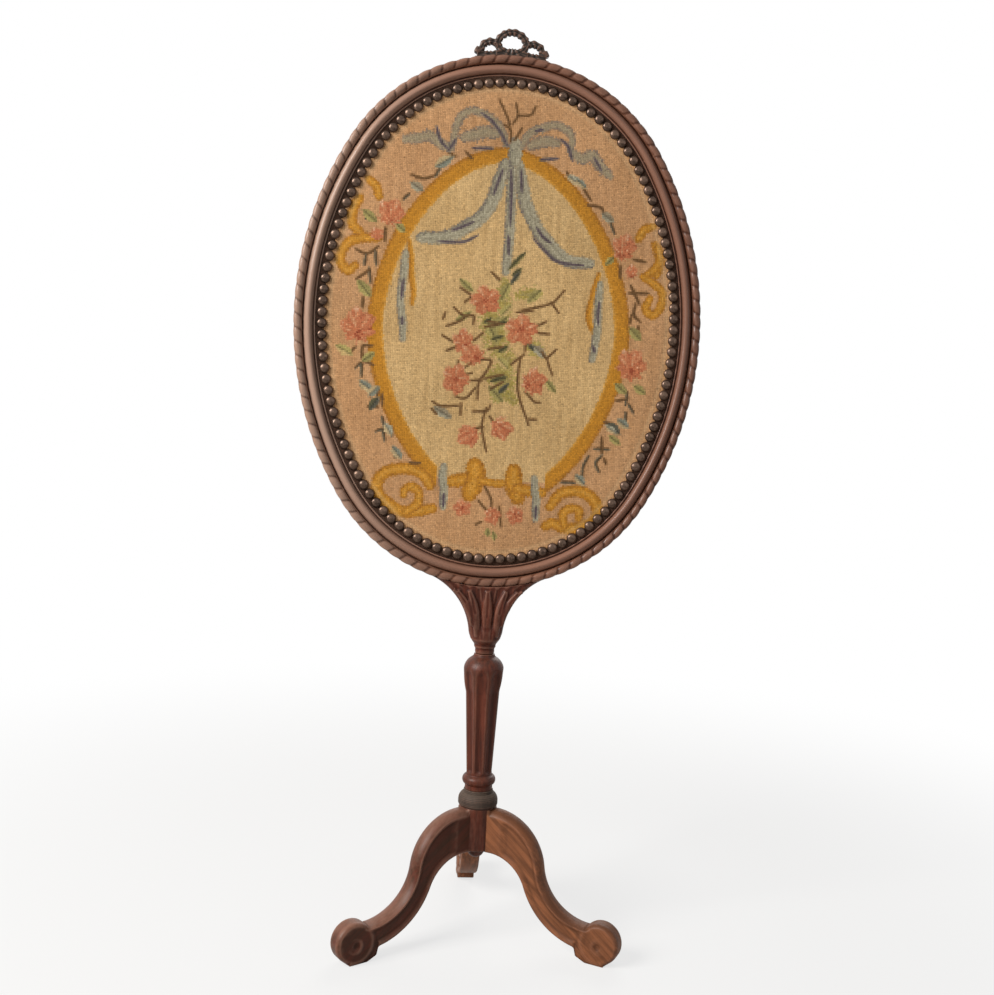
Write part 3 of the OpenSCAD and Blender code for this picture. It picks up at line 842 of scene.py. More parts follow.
# Wool colours as they look, from 0 to 255
WOOL = {
    "peach": (198, 152, 108), "peach shade": (182, 137, 94), "straw": (210, 175, 122),
    "straw shade": (191, 156, 105), "gold": (188, 129, 40), "gold light": (203, 147, 62),
    "gold dark": (158, 104, 38), "ribbon": (147, 139, 116), "ribbon light": (171, 163, 139),
    "ribbon dark": (112, 103, 96), "violet": (84, 70, 78), "coral": (186, 112, 76),
    "coral light": (202, 140, 100), "pink": (219, 172, 138), "red": (152, 76, 50),
    "leaf": (150, 138, 84), "leaf light": (176, 161, 98), "leaf dark": (92, 88, 58),
    "olive": (150, 134, 62), "teal": (92, 90, 76), "blue grey": (134, 136, 120),
    "blue pale": (164, 160, 138), "grey": (150, 136, 110), "stem": (92, 66, 40),
    # The margin wool is painted shade and dirt under the nails.
    "brown": (116, 84, 50), "edge": (212, 180, 138), "margin": (66, 44, 32),
}

# The gold band: a fuller oval, with a straight foot
BAND_MIDDLE = -9
BAND_AXES = (130.5, 184)
BAND_POWER = 1.78
BAND_WIDTH = 16.5
BAND_FOOT = -169

# Worked lines: points from the middle of the canvas, in millimetres, and width
SCROLLS = [
    ([(-66, -176), (-73, -166), (-85, -160), (-100, -160), (-114, -165), (-121, -176), (-118, -188),
      (-105, -199), (-91, -205), (-76, -203), (-62, -200)], 13),
    ([(-91, -205), (-80, -198), (-77, -191), (-78, -182), (-86, -178), (-92, -182), (-93, -187)], 10),
    ([(62, -193), (73, -179), (91, -176), (105, -181), (113, -194), (110, -206), (99, -213),
      (81, -216), (66, -211), (58, -214)], 13),
    ([(78, -213), (76, -201), (83, -195), (93, -196), (93, -205)], 10),
    ([(-144, 141), (-136, 134), (-132, 123)], 10),
    ([(-152, 121), (-158, 109), (-159, 94), (-150, 84)], 11),
    ([(-131, 80), (-147, 79), (-160, 75), (-168, 64), (-169, 53), (-161, 44), (-154, 50)], 11),
    ([(144, 95), (150, 105), (159, 109)], 10), ([(162, 90), (168, 75), (165, 58)], 11),
    ([(165, 88), (168, 73), (161, 62), (151, 55)], 9),
    ([(151, 55), (163, 48), (172, 39), (171, 24), (163, 15), (155, 21), (159, 32)], 10),
    ([(-44, -171), (-32, -169), (-20, -168)], 15), ([(-20, -153), (-18, -167), (-24, -183)], 21),
    ([(-14, -168), (0, -171), (14, -171)], 9), ([(22, -157), (22, -170), (27, -185)], 19),
    ([(26, -176), (40, -178), (53, -179)], 13),
]

RIBBONS = [
    ([(-1, 166), (-7, 148), (-13, 127), (-24, 109), (-41, 96), (-61, 85), (-86, 83)], 15),
    ([(12, 166), (17, 143), (24, 120), (36, 98), (51, 82), (68, 68), (92, 66)], 15),
    ([(6, 166), (6, 128), (6, 90), (4, 52)], 11),
    ([(-102, 66), (-103, 46), (-105, 28), (-105, 12), (-102, -5), (-101, -24)], 9),
    ([(105, 45), (104, 28), (104, 12), (104, -2), (102, -22), (100, -36)], 9),
    ([(-52, -155), (-53, -167), (-51, -179), (-51, -198)], 9),
    ([(44, -164), (45, -176), (47, -188), (47, -207)], 9),
    ([(8, 189), (8, 180), (8, 168)], 15),
]

BOW = [
    ([(-2, 186), (-7, 201), (-18, 212), (-30, 218), (-40, 219), (-50, 213), (-55, 201), (-57, 189),
      (-60, 179)], 9),
    ([(-12, 197), (-24, 198), (-36, 194), (-46, 191)], 14),
    ([(-60, 178), (-71, 183), (-82, 190), (-94, 187), (-108, 185)], 12),
    ([(15, 185), (19, 195), (28, 203), (39, 207), (51, 210), (64, 204), (68, 195), (67, 184)], 9),
    ([(24, 186), (38, 192), (52, 191)], 13),
    ([(67, 183), (80, 176), (90, 181), (100, 169), (110, 160)], 12),
]

FOLDS = [
    [(-4, 160), (-9, 145), (-13, 132)], [(-32, 103), (-44, 97), (-55, 92)],
    [(-27, 89), (-40, 82), (-55, 80), (-69, 80)], [(5, 160), (6, 128), (6, 101)], [(5, 91), (6, 69)],
    [(15, 161), (17, 136)], [(34, 101), (42, 91), (51, 85)],
    [(31, 89), (46, 75), (56, 67), (73, 64), (86, 64)], [(-30, 218), (-18, 210), (-8, 198), (0, 184)],
    [(-37, 180), (-15, 181)], [(-62, 177), (-71, 186), (-76, 201)],
    [(-55, 189), (-59, 181), (-63, 175)], [(28, 202), (37, 205)], [(55, 196), (64, 188), (69, 173)],
    [(34, 172), (54, 175)], [(92, 179), (101, 165)], [(-103, 39), (-104, 29), (-104, 18)],
    [(-103, -1), (-102, -9)], [(105, 26), (104, 12), (105, 1)], [(101, -21), (102, -29)],
    [(-51, -184), (-51, -197)], [(47, -193), (47, -206)],
]

GOLD_CORDS = [[(-99, 80), (-96, 62), (-95, 44), (-92, 26), (-93, 13)],
              [(103, 55), (98, 35), (94, 12), (97, -1), (103, -11)]]

TWIGS = [[(-11, 233), (-1, 213), (2, 202)], [(7, 230), (9, 217), (4, 208)],
         [(28, 228), (23, 219), (10, 217)], [(-5, 207), (2, 202), (3, 190)], [(14, 204), (7, 191)]]

# Olive shade behind the bouquet
SHADE = [
    ([(4, 42), (3, 26), (6, 8)], 12), ([(-9, 2), (-4, -14), (-2, -30)], 26),
    ([(12, -36), (8, -44), (3, -48)], 15), ([(-5, -58), (9, -62), (1, -79)], 22),
    ([(18, 28), (30, 30), (39, 31)], 12), ([(33, -22), (43, -32)], 15), ([(11, -76), (19, -84)], 12),
]

STEMS = [
    [(-13, -1), (4, -3)], [(-16, -7), (-2, -4)], [(-11, -30), (4, -27)], [(-13, -61), (6, -56)],
    [(-7, -72), (6, -64)], [(17, 10), (35, 13)], [(-11, 51), (-2, 43)],
    [(-43, 33), (-32, 25), (-38, 18)], [(-49, 12), (-39, 4), (-28, 4), (-28, -5)],
    [(-56, -8), (-44, -3), (-38, 1)], [(-60, -1), (-58, 6)], [(-60, -18), (-49, -24)],
    [(-55, -34), (-44, -29)], [(-27, -22), (-17, -13)],
    [(-42, -44), (-40, -53), (-23, -43), (-8, -42), (-12, -54), (-19, -65), (-20, -83)],
    [(-34, -58), (-27, -56)], [(-28, -64), (-16, -63)], [(-44, -81), (-33, -83), (-23, -72)],
    [(-37, -88), (-37, -101)], [(-67, -88), (-58, -92), (-40, -91)], [(-68, -95), (-62, -101)],
    [(-24, -96), (-10, -95), (-6, -89)], [(-10, -92), (-14, -112), (-8, -138)],
    [(-6, -101), (1, -111)], [(-21, -114), (-13, -112)], [(27, -34), (14, -45)],
    [(24, -36), (22, -54), (23, -76), (33, -102), (35, -108)], [(35, -102), (43, -102)],
    [(30, -73), (40, -83), (46, -84)], [(46, -30), (51, -36), (61, -27)], [(51, -36), (58, -54)],
    [(23, 13), (32, 15), (54, 22), (67, 36)], [(54, 22), (62, 12)], [(38, -4), (49, 2)],
    [(39, -10), (53, -11)], [(29, -16), (28, -31)], [(-8, -175), (-1, -187), (0, -196)],
    [(-14, -190), (-5, -200)], [(8, -195), (11, -216)], [(-16, -215), (-10, -212)],
]

# Flowers: middle x and z, half width, half height, and where the heart is, as shares of these
ROSES = [
    (-16, 21, 15, 14, 0, 0), (23, -8, 16, 15, 0, 0), (-38, -23, 10, 12, 0.3, -0.4),
    (-28, -37, 12, 10, 0.4, -0.3), (-44, -63, 13, 15, 0, 0), (39, -62, 12, 13, -0.5, -0.3),
    (-119, 108, 13, 13, 0, -0.9), (-148, -12, 17, 17, 0, -0.5), (129, 86, 12, 13, -0.2, -0.8),
    (142, -39, 15, 16, 0, -0.4), (-31, -198, 9, 8, 0, 0), (1, -205, 8, 9, 0, 0.8),
    (25, -204, 9, 9, 0, 0), (-28, -122, 11, 11, 0.9, 0.6), (7, -113, 11, 11, -0.9, 0.7),
    (-133, 84, 7, 6, 0, -0.8), (138, 60, 6, 7, 0, -0.8),
]

# Leaves: from, to, width and tone
LEAVES = [
    ((-14, -12), (8, 4), 12, "leaf"), ((-13, -2), (-2, -22), 9, "leaf"),
    ((1, 6), (12, 18), 8, "leaf light"), ((0, 22), (8, 40), 9, "leaf"),
    ((29, 22), (42, 35), 9, "leaf"), ((37, -24), (50, -36), 9, "grey"),
    ((0, -39), (11, -50), 8, "leaf light"), ((-8, -70), (6, -84), 9, "leaf"),
    ((-65, -94), (-47, -104), 9, "grey"), ((7, 55), (24, 74), 5, "leaf dark"),
    ((11, 49), (21, 57), 4, "leaf dark"), ((10, 40), (19, 53), 5, "teal"),
    ((-6, -5), (8, 0), 4, "leaf dark"), ((-8, -20), (4, -16), 4, "leaf dark"),
    ((0, -33), (10, -26), 5, "leaf dark"), ((-7, -64), (10, -59), 5, "leaf dark"),
    ((2, -76), (12, -66), 5, "teal"), ((-18, -3), (-9, 2), 4, "leaf dark"),
    ((31, -22), (37, -29), 4, "teal"), ((-30, 30), (-44, 42), 7, "leaf"),
    ((-31, 8), (-46, -2), 7, "leaf"), ((52, -60), (62, -72), 7, "leaf"),
    ((-4, -219), (-2, -227), 6, "leaf"), ((3, -222), (5, -231), 5, "leaf"),
    ((-57, 170), (-75, 158), 10, "blue grey"), ((-100, 140), (-87, 132), 9, "grey"),
    ((-148, 108), (-134, 97), 9, "leaf"), ((-150, 34), (-137, 19), 11, "leaf"),
    ((-170, -34), (-153, -43), 9, "leaf light"), ((-130, -40), (-142, -49), 8, "leaf"),
    ((-144, -70), (-130, -80), 9, "blue grey"), ((-124, -75), (-134, -85), 8, "blue grey"),
    ((-124, -86), (-132, -99), 8, "teal"), ((-116, -113), (-108, -125), 8, "blue pale"),
    ((-107, -137), (-97, -149), 9, "blue grey"), ((65, 157), (79, 149), 9, "blue pale"),
    ((75, 154), (85, 146), 7, "blue grey"), ((104, 120), (116, 112), 9, "grey"),
    ((139, 0), (151, -12), 10, "leaf"), ((126, -60), (138, -70), 9, "leaf"),
    ((146, -61), (158, -69), 8, "leaf"), ((121, -103), (133, -113), 9, "teal"),
    ((130, -98), (142, -106), 8, "blue grey"), ((118, -105), (130, -113), 6, "blue pale"),
    ((122, -116), (134, -124), 7, "leaf"), ((88, -159), (98, -169), 8, "blue grey"),
    ((-113, 96), (-104, 88), 7, "leaf"), ((118, 74), (110, 66), 6, "leaf"),
]

GARLAND = [
    [(-62, 174), (-54, 170)], [(-44, 176), (-37, 169)], [(-75, 148), (-70, 157)],
    [(-100, 148), (-87, 145), (-77, 148)], [(-107, 122), (-101, 128)], [(-145, 99), (-135, 100)],
    [(-124, 92), (-124, 77)], [(-154, 67), (-142, 63), (-131, 71)], [(-143, 61), (-144, 51)],
    [(-133, 66), (-132, 52)], [(-139, 48), (-137, 33)], [(-152, 36), (-139, 46)],
    [(-144, 17), (-144, 6)], [(-156, -41), (-150, -35)],
    [(-132, -33), (-142, -34), (-141, -47), (-130, -53)], [(-149, -57), (-143, -52), (-142, -65)],
    [(-143, -74), (-135, -77)], [(-124, -77), (-125, -84)], [(-134, -96), (-124, -96)],
    [(-120, -82), (-119, -94)], [(-119, -106), (-116, -117)],
    [(-125, -122), (-118, -120), (-115, -131)], [(-109, -117), (-108, -126)],
    [(-106, -138), (-103, -149)], [(-88, -153), (-77, -153)], [(64, 161), (70, 151)],
    [(80, 149), (91, 133)], [(88, 128), (102, 126), (105, 121)], [(113, 111), (118, 99)],
    [(140, 73), (153, 71)], [(126, 66), (126, 52)], [(138, 45), (148, 26)], [(136, 37), (157, 38)],
    [(144, 26), (143, 14), (150, 7)], [(140, 14), (139, 5)], [(148, 2), (149, -8)],
    [(148, -63), (154, -68)], [(133, -62), (139, -70), (138, -82)], [(128, -78), (137, -76)],
    [(141, -81), (147, -90)], [(139, -90), (139, -99)], [(116, -101), (128, -104)],
    [(126, -118), (129, -122)], [(107, -130), (122, -130)], [(114, -117), (115, -134)],
    [(115, -137), (109, -145), (113, -155)], [(118, -140), (120, -146)],
    [(101, -138), (96, -149), (95, -162)], [(73, -167), (87, -167)],
]


class Needlework:
    """Chooses the wool of each stitch, from its place on the canvas in millimetres from the middle."""

    def __init__(self, x, z):
        self.x, self.z = x, z
        self.rng = np.random.default_rng(7)
        self.wool = np.zeros((len(x), 3))

    def near(self, line, reach):
        """Stitches near a line, with their distance from it, the side and the place along it."""
        low, high = line.min(0) - reach, line.max(0) + reach
        pick = np.where((self.x > low[0]) & (self.x < high[0])
                        & (self.z > low[1]) & (self.z < high[1]))[0]
        here = np.column_stack([self.x[pick], self.z[pick]])
        gaps = here[:, None] - line[None]
        squares = (gaps ** 2).sum(2)
        best = squares.argmin(1)
        rows = np.arange(len(pick))
        way = np.gradient(line, axis=0)[best]
        off = gaps[rows, best]
        side = np.sign(way[:, 0] * off[:, 1] - way[:, 1] * off[:, 0])
        return pick, np.sqrt(squares[rows, best]), side, best / (len(line) - 1)

    def shades(self, place, names):
        """The colour at a place from 0 to 1 along a row of wools."""
        palette = np.array([WOOL[n] for n in names], float)
        stops = np.linspace(0, 1, len(names))
        return np.column_stack([np.interp(place, stops, palette[:, i]) for i in range(3)])

    def lay(self, pick, inside, made, strength=1.0):
        """Works these stitches by how far inside they are, in millimetres. An edge stitch is a blend."""
        share = strength * np.clip(inside / 1.7 + 0.5, 0, 1)[:, None]
        self.wool[pick] += share * (made - self.wool[pick])

    def stroke(self, points, width, names, taper=0.35, rough=0.07, strength=1.0):
        """A worked line. The wools run across it, from its right side to its left."""
        line = curve_through(points, 1.0)
        pick, distance, side, along = self.near(line, width)
        jitter = self.rng.normal(size=(2, len(pick)))
        half = width / 2 * (1 - taper * np.abs(2 * along - 1) ** 4) * (1 + rough * jitter[0])
        across = (side * distance / half + 1) / 2 + 0.06 * jitter[1]
        self.lay(pick, half - distance, self.shades(across, names), strength)

    def leaf(self, start, end, width, tone):
        """A pointed leaf with a dark midrib and one paler half."""
        line = curve_through([start, end], 1.0)
        pick, distance, side, along = self.near(line, width)
        half = width / 2 * np.sin(np.pi * np.clip(along * 0.96 + 0.02, 0, 1)) ** 0.7 + 0.4
        half = half * (1 + 0.10 * self.rng.normal(size=len(pick)))
        pale = {"leaf": "leaf light", "leaf dark": "leaf", "teal": "leaf dark", "grey": "blue pale"}
        one, other = np.array(WOOL[tone], float), np.array(WOOL[pale.get(tone, "straw")], float)
        made = np.where((side > 0)[:, None], one, one * 0.35 + other * 0.65)
        self.lay(pick, half - distance, made)
        self.lay(pick, np.minimum(0.9, half - 0.8) - distance, one * 0.62, 0.8)

    def flower(self, cx, cz, rx, rz, heart_x, heart_z):
        """An open flower. Its petals are rays of coral and pink that fan out from a darker heart."""
        dx, dz = (self.x - cx) / rx, (self.z - cz) / rz
        pick = np.where(dx ** 2 + dz ** 2 < 2.2)[0]
        dx, dz = dx[pick], dz[pick]
        r, reach = np.hypot(dx, dz), np.hypot(dx - heart_x, dz - heart_z)
        turn = np.arctan2(dz - heart_z, dx - heart_x)
        petals = 5 + 4 * math.hypot(heart_x, heart_z)
        phase = (cx * 0.7 + cz * 1.3) % math.tau
        jitter = self.rng.normal(size=len(pick))
        fan = np.sin(petals * turn + phase + 1.2 * reach)
        rays = np.sin(2 * petals * turn + 2 * phase - 1.8 * reach)
        edge = 1.0 + 0.15 * fan + 0.06 * rays + 0.04 * jitter
        lit = np.clip(dx * -0.5 + dz * 0.8, -1, 1)
        tone = 0.50 + 0.17 * fan + 0.15 * rays + 0.13 * lit + 0.09 * jitter
        outer = np.clip(r / edge - 0.82, 0, 1) * 5 * (lit < 0.1)
        tone = tone - 0.45 * np.exp(-(reach / 0.26) ** 2) - 0.22 * outer
        made = self.shades(np.clip(tone, 0, 1), ["red", "coral", "coral", "coral light", "pink"])
        self.lay(pick, (edge - r) * min(rx, rz), made)

    def ground(self):
        """Peach outside the gold band and straw inside it, in slightly uneven rows."""
        x, z = self.x, self.z
        p = BAND_POWER
        ax, az = BAND_AXES
        level = (np.abs(x) / ax) ** p + (np.abs(z - BAND_MIDDLE) / az) ** p
        slope = np.hypot(p * np.abs(x) ** (p - 1) / ax ** p,
                         p * np.abs(z - BAND_MIDDLE) ** (p - 1) / az ** p) + 1e-6
        off = (level - 1) / slope
        off = np.where(np.abs(x) < 60, np.maximum(off, BAND_FOOT - z), off)
        wear = wave_noise(x, z, 3, 130)[:, None]
        rows = wave_noise(x * 5, z * 0.7, 5, 60) + 0.5 * wave_noise(x * 0.8, z * 7, 9, 50)
        rows = rows[:, None]
        peach, shade, straw, dull = (np.array(WOOL[name], float) for name in (
            "peach", "peach shade", "straw", "straw shade"))
        share = np.clip(0.45 + 0.30 * wear + 0.36 * rows, 0, 1)
        outer = peach + (shade - peach) * share
        inner = straw + (dull - straw) * share
        self.wool[:] = np.where((off > 0)[:, None], outer, inner)
        half = BAND_WIDTH / 2 * (1 + 0.05 * self.rng.normal(size=len(x)))
        half = np.where((z < -120) & (x > -60) & (x < 55), -9, half)
        across = (off / BAND_WIDTH + 0.5) + 0.05 * self.rng.normal(size=len(x))
        made = self.shades(across, ["gold light", "gold", "gold", "gold", "gold dark"])
        self.lay(slice(None), half - np.abs(off), made)

    def margin(self):
        """The dark edge under the nails, painted shade and dirt, and a paler rim beside it."""
        depth = Oval().inset(self.x, self.z) - mm(sizes().nail_inset)
        rim = np.exp(-((depth - 7.5) / 2.2) ** 2)[:, None] * 0.35
        self.wool += rim * (np.array(WOOL["edge"], float) - self.wool)
        # Painted shade and dirt: a dark band under the nails.
        self.lay(slice(None), 1.6 - depth, np.array([WOOL["margin"]], float))

    def work(self):
        """Works the whole picture, from the ground up to the last stems."""
        self.ground()
        for points in GOLD_CORDS:
            self.stroke(points, 6.5, ["gold dark", "gold", "gold light"])
        for points, width in SCROLLS:
            self.stroke(points, width, ["gold dark", "gold", "gold light", "gold", "gold dark"], 0.2)
        for points in GARLAND:
            self.stroke(points, 3.4, ["teal", "stem"] if points[0][0] % 2 else ["stem", "brown"], 0.3)
        silk = ["ribbon dark", "ribbon", "ribbon light", "ribbon", "ribbon light", "grey"]
        for points, width in RIBBONS:
            self.stroke(points, width, silk, 0.2)
        silk = ["ribbon dark", "grey", "ribbon", "grey", "ribbon dark"]
        for points, width in BOW:
            self.stroke(points, width, silk, 0.3, 0.12, 0.85)
        green = ["leaf light", "olive", "leaf", "olive", "leaf light"]
        for points, width in SHADE:
            self.stroke(points, width, green, 0.3, 0.3, 0.8)
        for points in FOLDS:
            self.stroke(points, 3.9, ["ribbon dark", "violet", "ribbon dark"], 0.6)
        for leaf in LEAVES:
            self.leaf(*leaf)
        for points in STEMS + TWIGS:
            self.stroke(points, 2.8, ["stem", "brown"], 0.2)
        for rose in ROSES:
            self.flower(*rose)
        self.margin()
        grain = 1 + 0.035 * self.rng.normal(size=(len(self.x), 1))
        grime = 1 - 0.05 * np.clip(wave_noise(self.x, self.z, 21, 210), 0, 1)[:, None]
        seen = np.clip(self.wool * grain * grime / 255, 0, 1)
        return np.where(seen < 0.04045, seen / 12.92, ((seen + 0.055) / 1.055) ** 2.4)


def on_panel(x, z, f):
    """Points a height f in front of the panel's middle plane, with x and z from the oval's middle."""
    return np.column_stack([x, np.full(len(x), AXIS_Y) - f, FRAME_MID + z])


def declare_sheet(oval, inset):
    """Works out the width, length and outline of the oval the cloth was cut from and stretched over
    the frame, and leaves them unused.
    """
    width, length = 2 * (OVAL_A - inset) * MM, 2 * (OVAL_B - inset) * MM
    line = oval.outline(inset, 1.0) * MM


def build_cloths(context):
    """Two plain stretched cloths, each between two heights, cut to the oval."""
    oval = Oval()
    shares = (0.999, 0.9, 0.8, 0.7, 0.6, 0.5, 0.4, 0.3, 0.2, 0.1)
    for name, (back, front), inset, finish, node, step in (
            ("lining_canvas_cloth", LINING_F, mm(sizes().cloth_inset), "linen_canvas",
             "lining_canvas", 6),
            ("back_cloth", BACKING_F, REBATE_U + 0.5, "backing_cotton", "backing_cloth", 4)):
        edge = oval.outline(inset, step)
        loops = [on_panel(*(edge * s).T, front) for s in reversed(shares)]
        loops += [on_panel(*(edge * s).T, back) for s in shares]
        piece = new_object(name, *loft(loops))
        finish_piece(piece, "screen", material(finish), [node], 30)
        declare_sheet(oval, inset)


def stitch_cells(oval, pitch, inset):
    """Cells of the canvas inside the oval: their corners' places and each cell's four corners."""
    half_x, half_z = int(OVAL_A / pitch), int(OVAL_B / pitch)
    columns, rows = np.meshgrid(np.arange(-half_x, half_x), np.arange(-half_z, half_z))
    inside = oval.inset((columns + 0.5) * pitch, (rows + 0.5) * pitch) > inset + 0.2 * pitch
    columns, rows = columns[inside], rows[inside]
    wide = 2 * half_x + 1
    corners = [(rows + half_z + dz) * wide + columns + half_x + dx
               for dx, dz in ((0, 0), (1, 0), (1, 1), (0, 1))]
    used, cells = np.unique(np.concatenate(corners), return_inverse=True)
    places = np.column_stack([used % wide - half_x, used // wide - half_z]) * pitch
    return places, cells.reshape(4, -1)


def border_of(edges):
    """Edges that only one face uses, each once, in the order of the faces."""
    single = {}
    for a, b in edges.tolist():
        if (b, a) in single:
            del single[(b, a)]
        else:
            single[(a, b)] = True
    return list(single)


def build_needlework(context):
    """One stitch per cell of the canvas, each a low crown of wool, over a closed backing."""
    oval, pitch, inset = Oval(), mm(sizes().stitch), mm(sizes().cloth_inset)
    places, cells = stitch_cells(oval, pitch, inset)
    corner_count, stitch_count = len(places), cells.shape[1]
    rim = np.bincount(cells.ravel()) < 4
    for _ in range(3):
        off = (oval.inset(*places.T) - inset)[:, None]
        way = places / np.linalg.norm(places, axis=1).clip(1)[:, None]
        places = np.where(rim[:, None], places + way * off, places)
    depth = oval.inset(*places.T)
    pull = -0.45 * np.exp(-((depth - 36) / 5) ** 2) * (depth > 30)
    swell = 0.35 * wave_noise(*places.T, 4, 170) * smooth(30, 60, depth)
    rng = np.random.default_rng(2)
    base = NAIL_F - 0.35 + pull + swell + 0.05 * rng.normal(size=corner_count)
    base[rim] = NAIL_F - 0.4
    crown = mm(sizes().stitch_height) * (1 + 0.22 * rng.normal(size=stitch_count))
    slip = 0.12 * pitch * rng.normal(size=(2, stitch_count))
    middle = places[cells].mean(0)
    tops = on_panel(middle[:, 0] + slip[0], middle[:, 1] + slip[1], base[cells].mean(0) + crown)
    front = on_panel(*places.T, base)
    tip = corner_count + np.arange(stitch_count)
    around = [(cells[a], cells[(a + 1) % 4]) for a in range(4)]
    stitches = np.concatenate([np.column_stack([a, b, tip]) for a, b in around])
    border = border_of(np.concatenate([np.column_stack(pair) for pair in around]))
    back_rim = sorted(set(v for edge in border for v in edge))
    back_of = {v: corner_count + stitch_count + i for i, v in enumerate(back_rim)}
    back = front[back_rim]
    back[:, 1] = AXIS_Y - WOOL_F
    centre = corner_count + stitch_count + len(back_rim)
    walls = []
    for a, b in border:
        walls.append([b, a, back_of[a], back_of[b]])
        walls.append([back_of[b], back_of[a], centre])
    points = np.vstack([front, tops, back, [[0, AXIS_Y - WOOL_F, FRAME_MID]]])
    mesh = bpy.data.meshes.new("needlework")
    mesh.from_pydata((points * MM).tolist(), [], stitches.tolist() + walls)
    wool = Needlework(*middle.T).work()
    colour = np.ones((len(mesh.loops), 4), np.float32)
    colour[:, :3] = 0.35
    per_corner = np.repeat(np.tile(wool, (4, 1)), 3, axis=0)
    colour[:len(per_corner), :3] = per_corner
    wool = mesh.color_attributes.new("wool", "FLOAT_COLOR", "CORNER")
    wool.data.foreach_set("color", colour.ravel())
    index = np.empty(len(mesh.loops), int)
    mesh.loops.foreach_get("vertex_index", index)
    flat = np.column_stack([points[index, 0], points[index, 2] - FRAME_MID]) / pitch
    uv = mesh.uv_layers.new(name="stitches")
    uv.data.foreach_set("uv", flat.astype(np.float32).ravel())
    piece = bpy.data.objects.new("needlework", mesh)
    context.scene.collection.objects.link(piece)
    clean_mesh(mesh)
    finish_piece(piece, "screen", material("needlepoint_wool"), ["needlepoint"], 180)
    declare_sheet(oval, inset)


def finish_carved(piece, body, finish, node, relief, passes, sharp, upright=True):
    """Stores wood coordinates, in metres and with x along the grain, and finishes the piece."""
    points, _, _ = mesh_arrays(piece.data)
    x, y, z = (points * MM).T
    set_attribute(piece.data, "grain", np.column_stack([z, x, y] if upright else [x, y, z]))
    store_relief(piece.data, relief, passes)
    finish_piece(piece, body, material(finish), [node], sharp)


def rounded(profile, radius, steps=3):
    """The same profile with its inner corners cut to small arcs."""
    p = np.asarray(profile, float)
    made = [p[0]]
    for before, at, after in zip(p[:-2], p[1:-1], p[2:]):
        back, on = before - at, after - at
        back_l, on_l = np.linalg.norm(back), np.linalg.norm(on)
        cut = min(radius, back_l * 0.45, on_l * 0.45)
        a, b = at + back / back_l * cut, at + on / on_l * cut
        for i in range(steps + 1):
            t = i / steps
            made.append((1 - t) ** 2 * a + 2 * t * (1 - t) * at + t * t * b)
    made.append(p[-1])
    return np.array(made)


def dense(profile, step):
    """The same profile with no step longer than this."""
    made = [profile[0]]
    for a, b in zip(profile[:-1], profile[1:]):
        count = max(1, int(np.ceil(np.linalg.norm(b - a) / step)))
        made += [a + (b - a) * i / count for i in range(1, count + 1)]
    return np.array(made)


# Turn of the flutes in degrees, and their depth in millimetres
FLUTE_TURN, FLUTE_CUT = 98.5, 3.3


def build_column(context):
    """Turned column: a ring, a fluted shaft that widens upwards and a bulb."""
    height = COLUMN_TOP - COLUMN_Z
    bulb = height - 18
    flutes = sizes().flutes
    ring = arc_points(17.6 - 5.4, 10, 5.4, -62, 62, 12)
    belly = arc_points(21.4 - 82, bulb, 82, -15.5, 0, 8)
    crown = arc_points(21.4 - 16, bulb, 16, 8, 62, 9)
    profile = np.vstack([
        [(7.2, -4), (13.6, -0.2), (14.5, 0.6), (14.6, 3.4)], ring,
        [(13.4, 15.6), (13.6, 17.5), (13.9, 19.5)],
        [(18.3, bulb - 23)], belly, crown, [(11.2, height - 2.4), (11.0, height - 0.2), (7.0, height)]])
    profile = dense(rounded(profile, 0.9), 1.3) + [0, COLUMN_Z]

    def hollow(angle, z):
        z = z - COLUMN_Z
        wave = np.abs(np.cos(flutes / 2 * (angle + math.radians(FLUTE_TURN))))
        scoop = np.clip(wave - 0.22, 0, 1) ** 1.3
        ends = smooth(16.6, 21.5, z) * (1 - smooth(bulb - 9 + 6 * wave, bulb - 1 + 6 * wave, z))
        return FLUTE_CUT * scoop * ends

    piece = new_object("fluted_column", *turned(profile, 168, hollow))
    finish_carved(piece, "stand", "walnut_turning", "column", 2.2, 5, 45)


def build_hub(context):
    """The domed collar, with marks of the turning, and the hub under it with its drop."""
    profile = np.vstack([
        [(9, HUB_TOP + 0.2), (19.2, HUB_TOP + 0.2), (20.2, HUB_TOP + 0.9), (20.9, HUB_TOP + 2.0)],
        arc_points(11.2, HUB_TOP + 5.6, 9.7, -5, 64, 10),
        [(15.8, HUB_TOP + 14.8), (15.4, HUB_TOP + 15.6), (15.5, COLUMN_Z - 0.5), (15.0, COLUMN_Z - 0.05),
         (9, COLUMN_Z - 0.05)]])

    def turning_marks(angle, z):
        return 0.10 * np.sin(z * 4.1) + 0.12 * np.sin(angle * 2 + 0.7)

    piece = new_object("dusty_collar_dome",
                       *turned(dense(rounded(profile, 0.6), 0.8), 120, turning_marks))
    finish_carved(piece, "stand", "dusty_collar", "base_collar", 1.6, 4, 45)

    low = box_mm("hub")[0][2]
    profile = np.vstack([
        [(0.4, low)], arc_points(0, low + 9.5, 9.5, -84, -4, 12),
        [(9.6, low + 10.3), (10.6, low + 10.9)],
        [(17.6, low + 11.2), (18.6, low + 11.8), (19.2, low + 13), (19.2, HUB_TOP - 0.6),
         (18.9, HUB_TOP - 0.1), (8, HUB_TOP - 0.1)]])
    piece = new_object("hub_and_drop", *turned(dense(rounded(profile, 0.5), 1.2), 112))
    finish_carved(piece, "stand", "walnut_turning", "hub", 1.8, 4, 45)


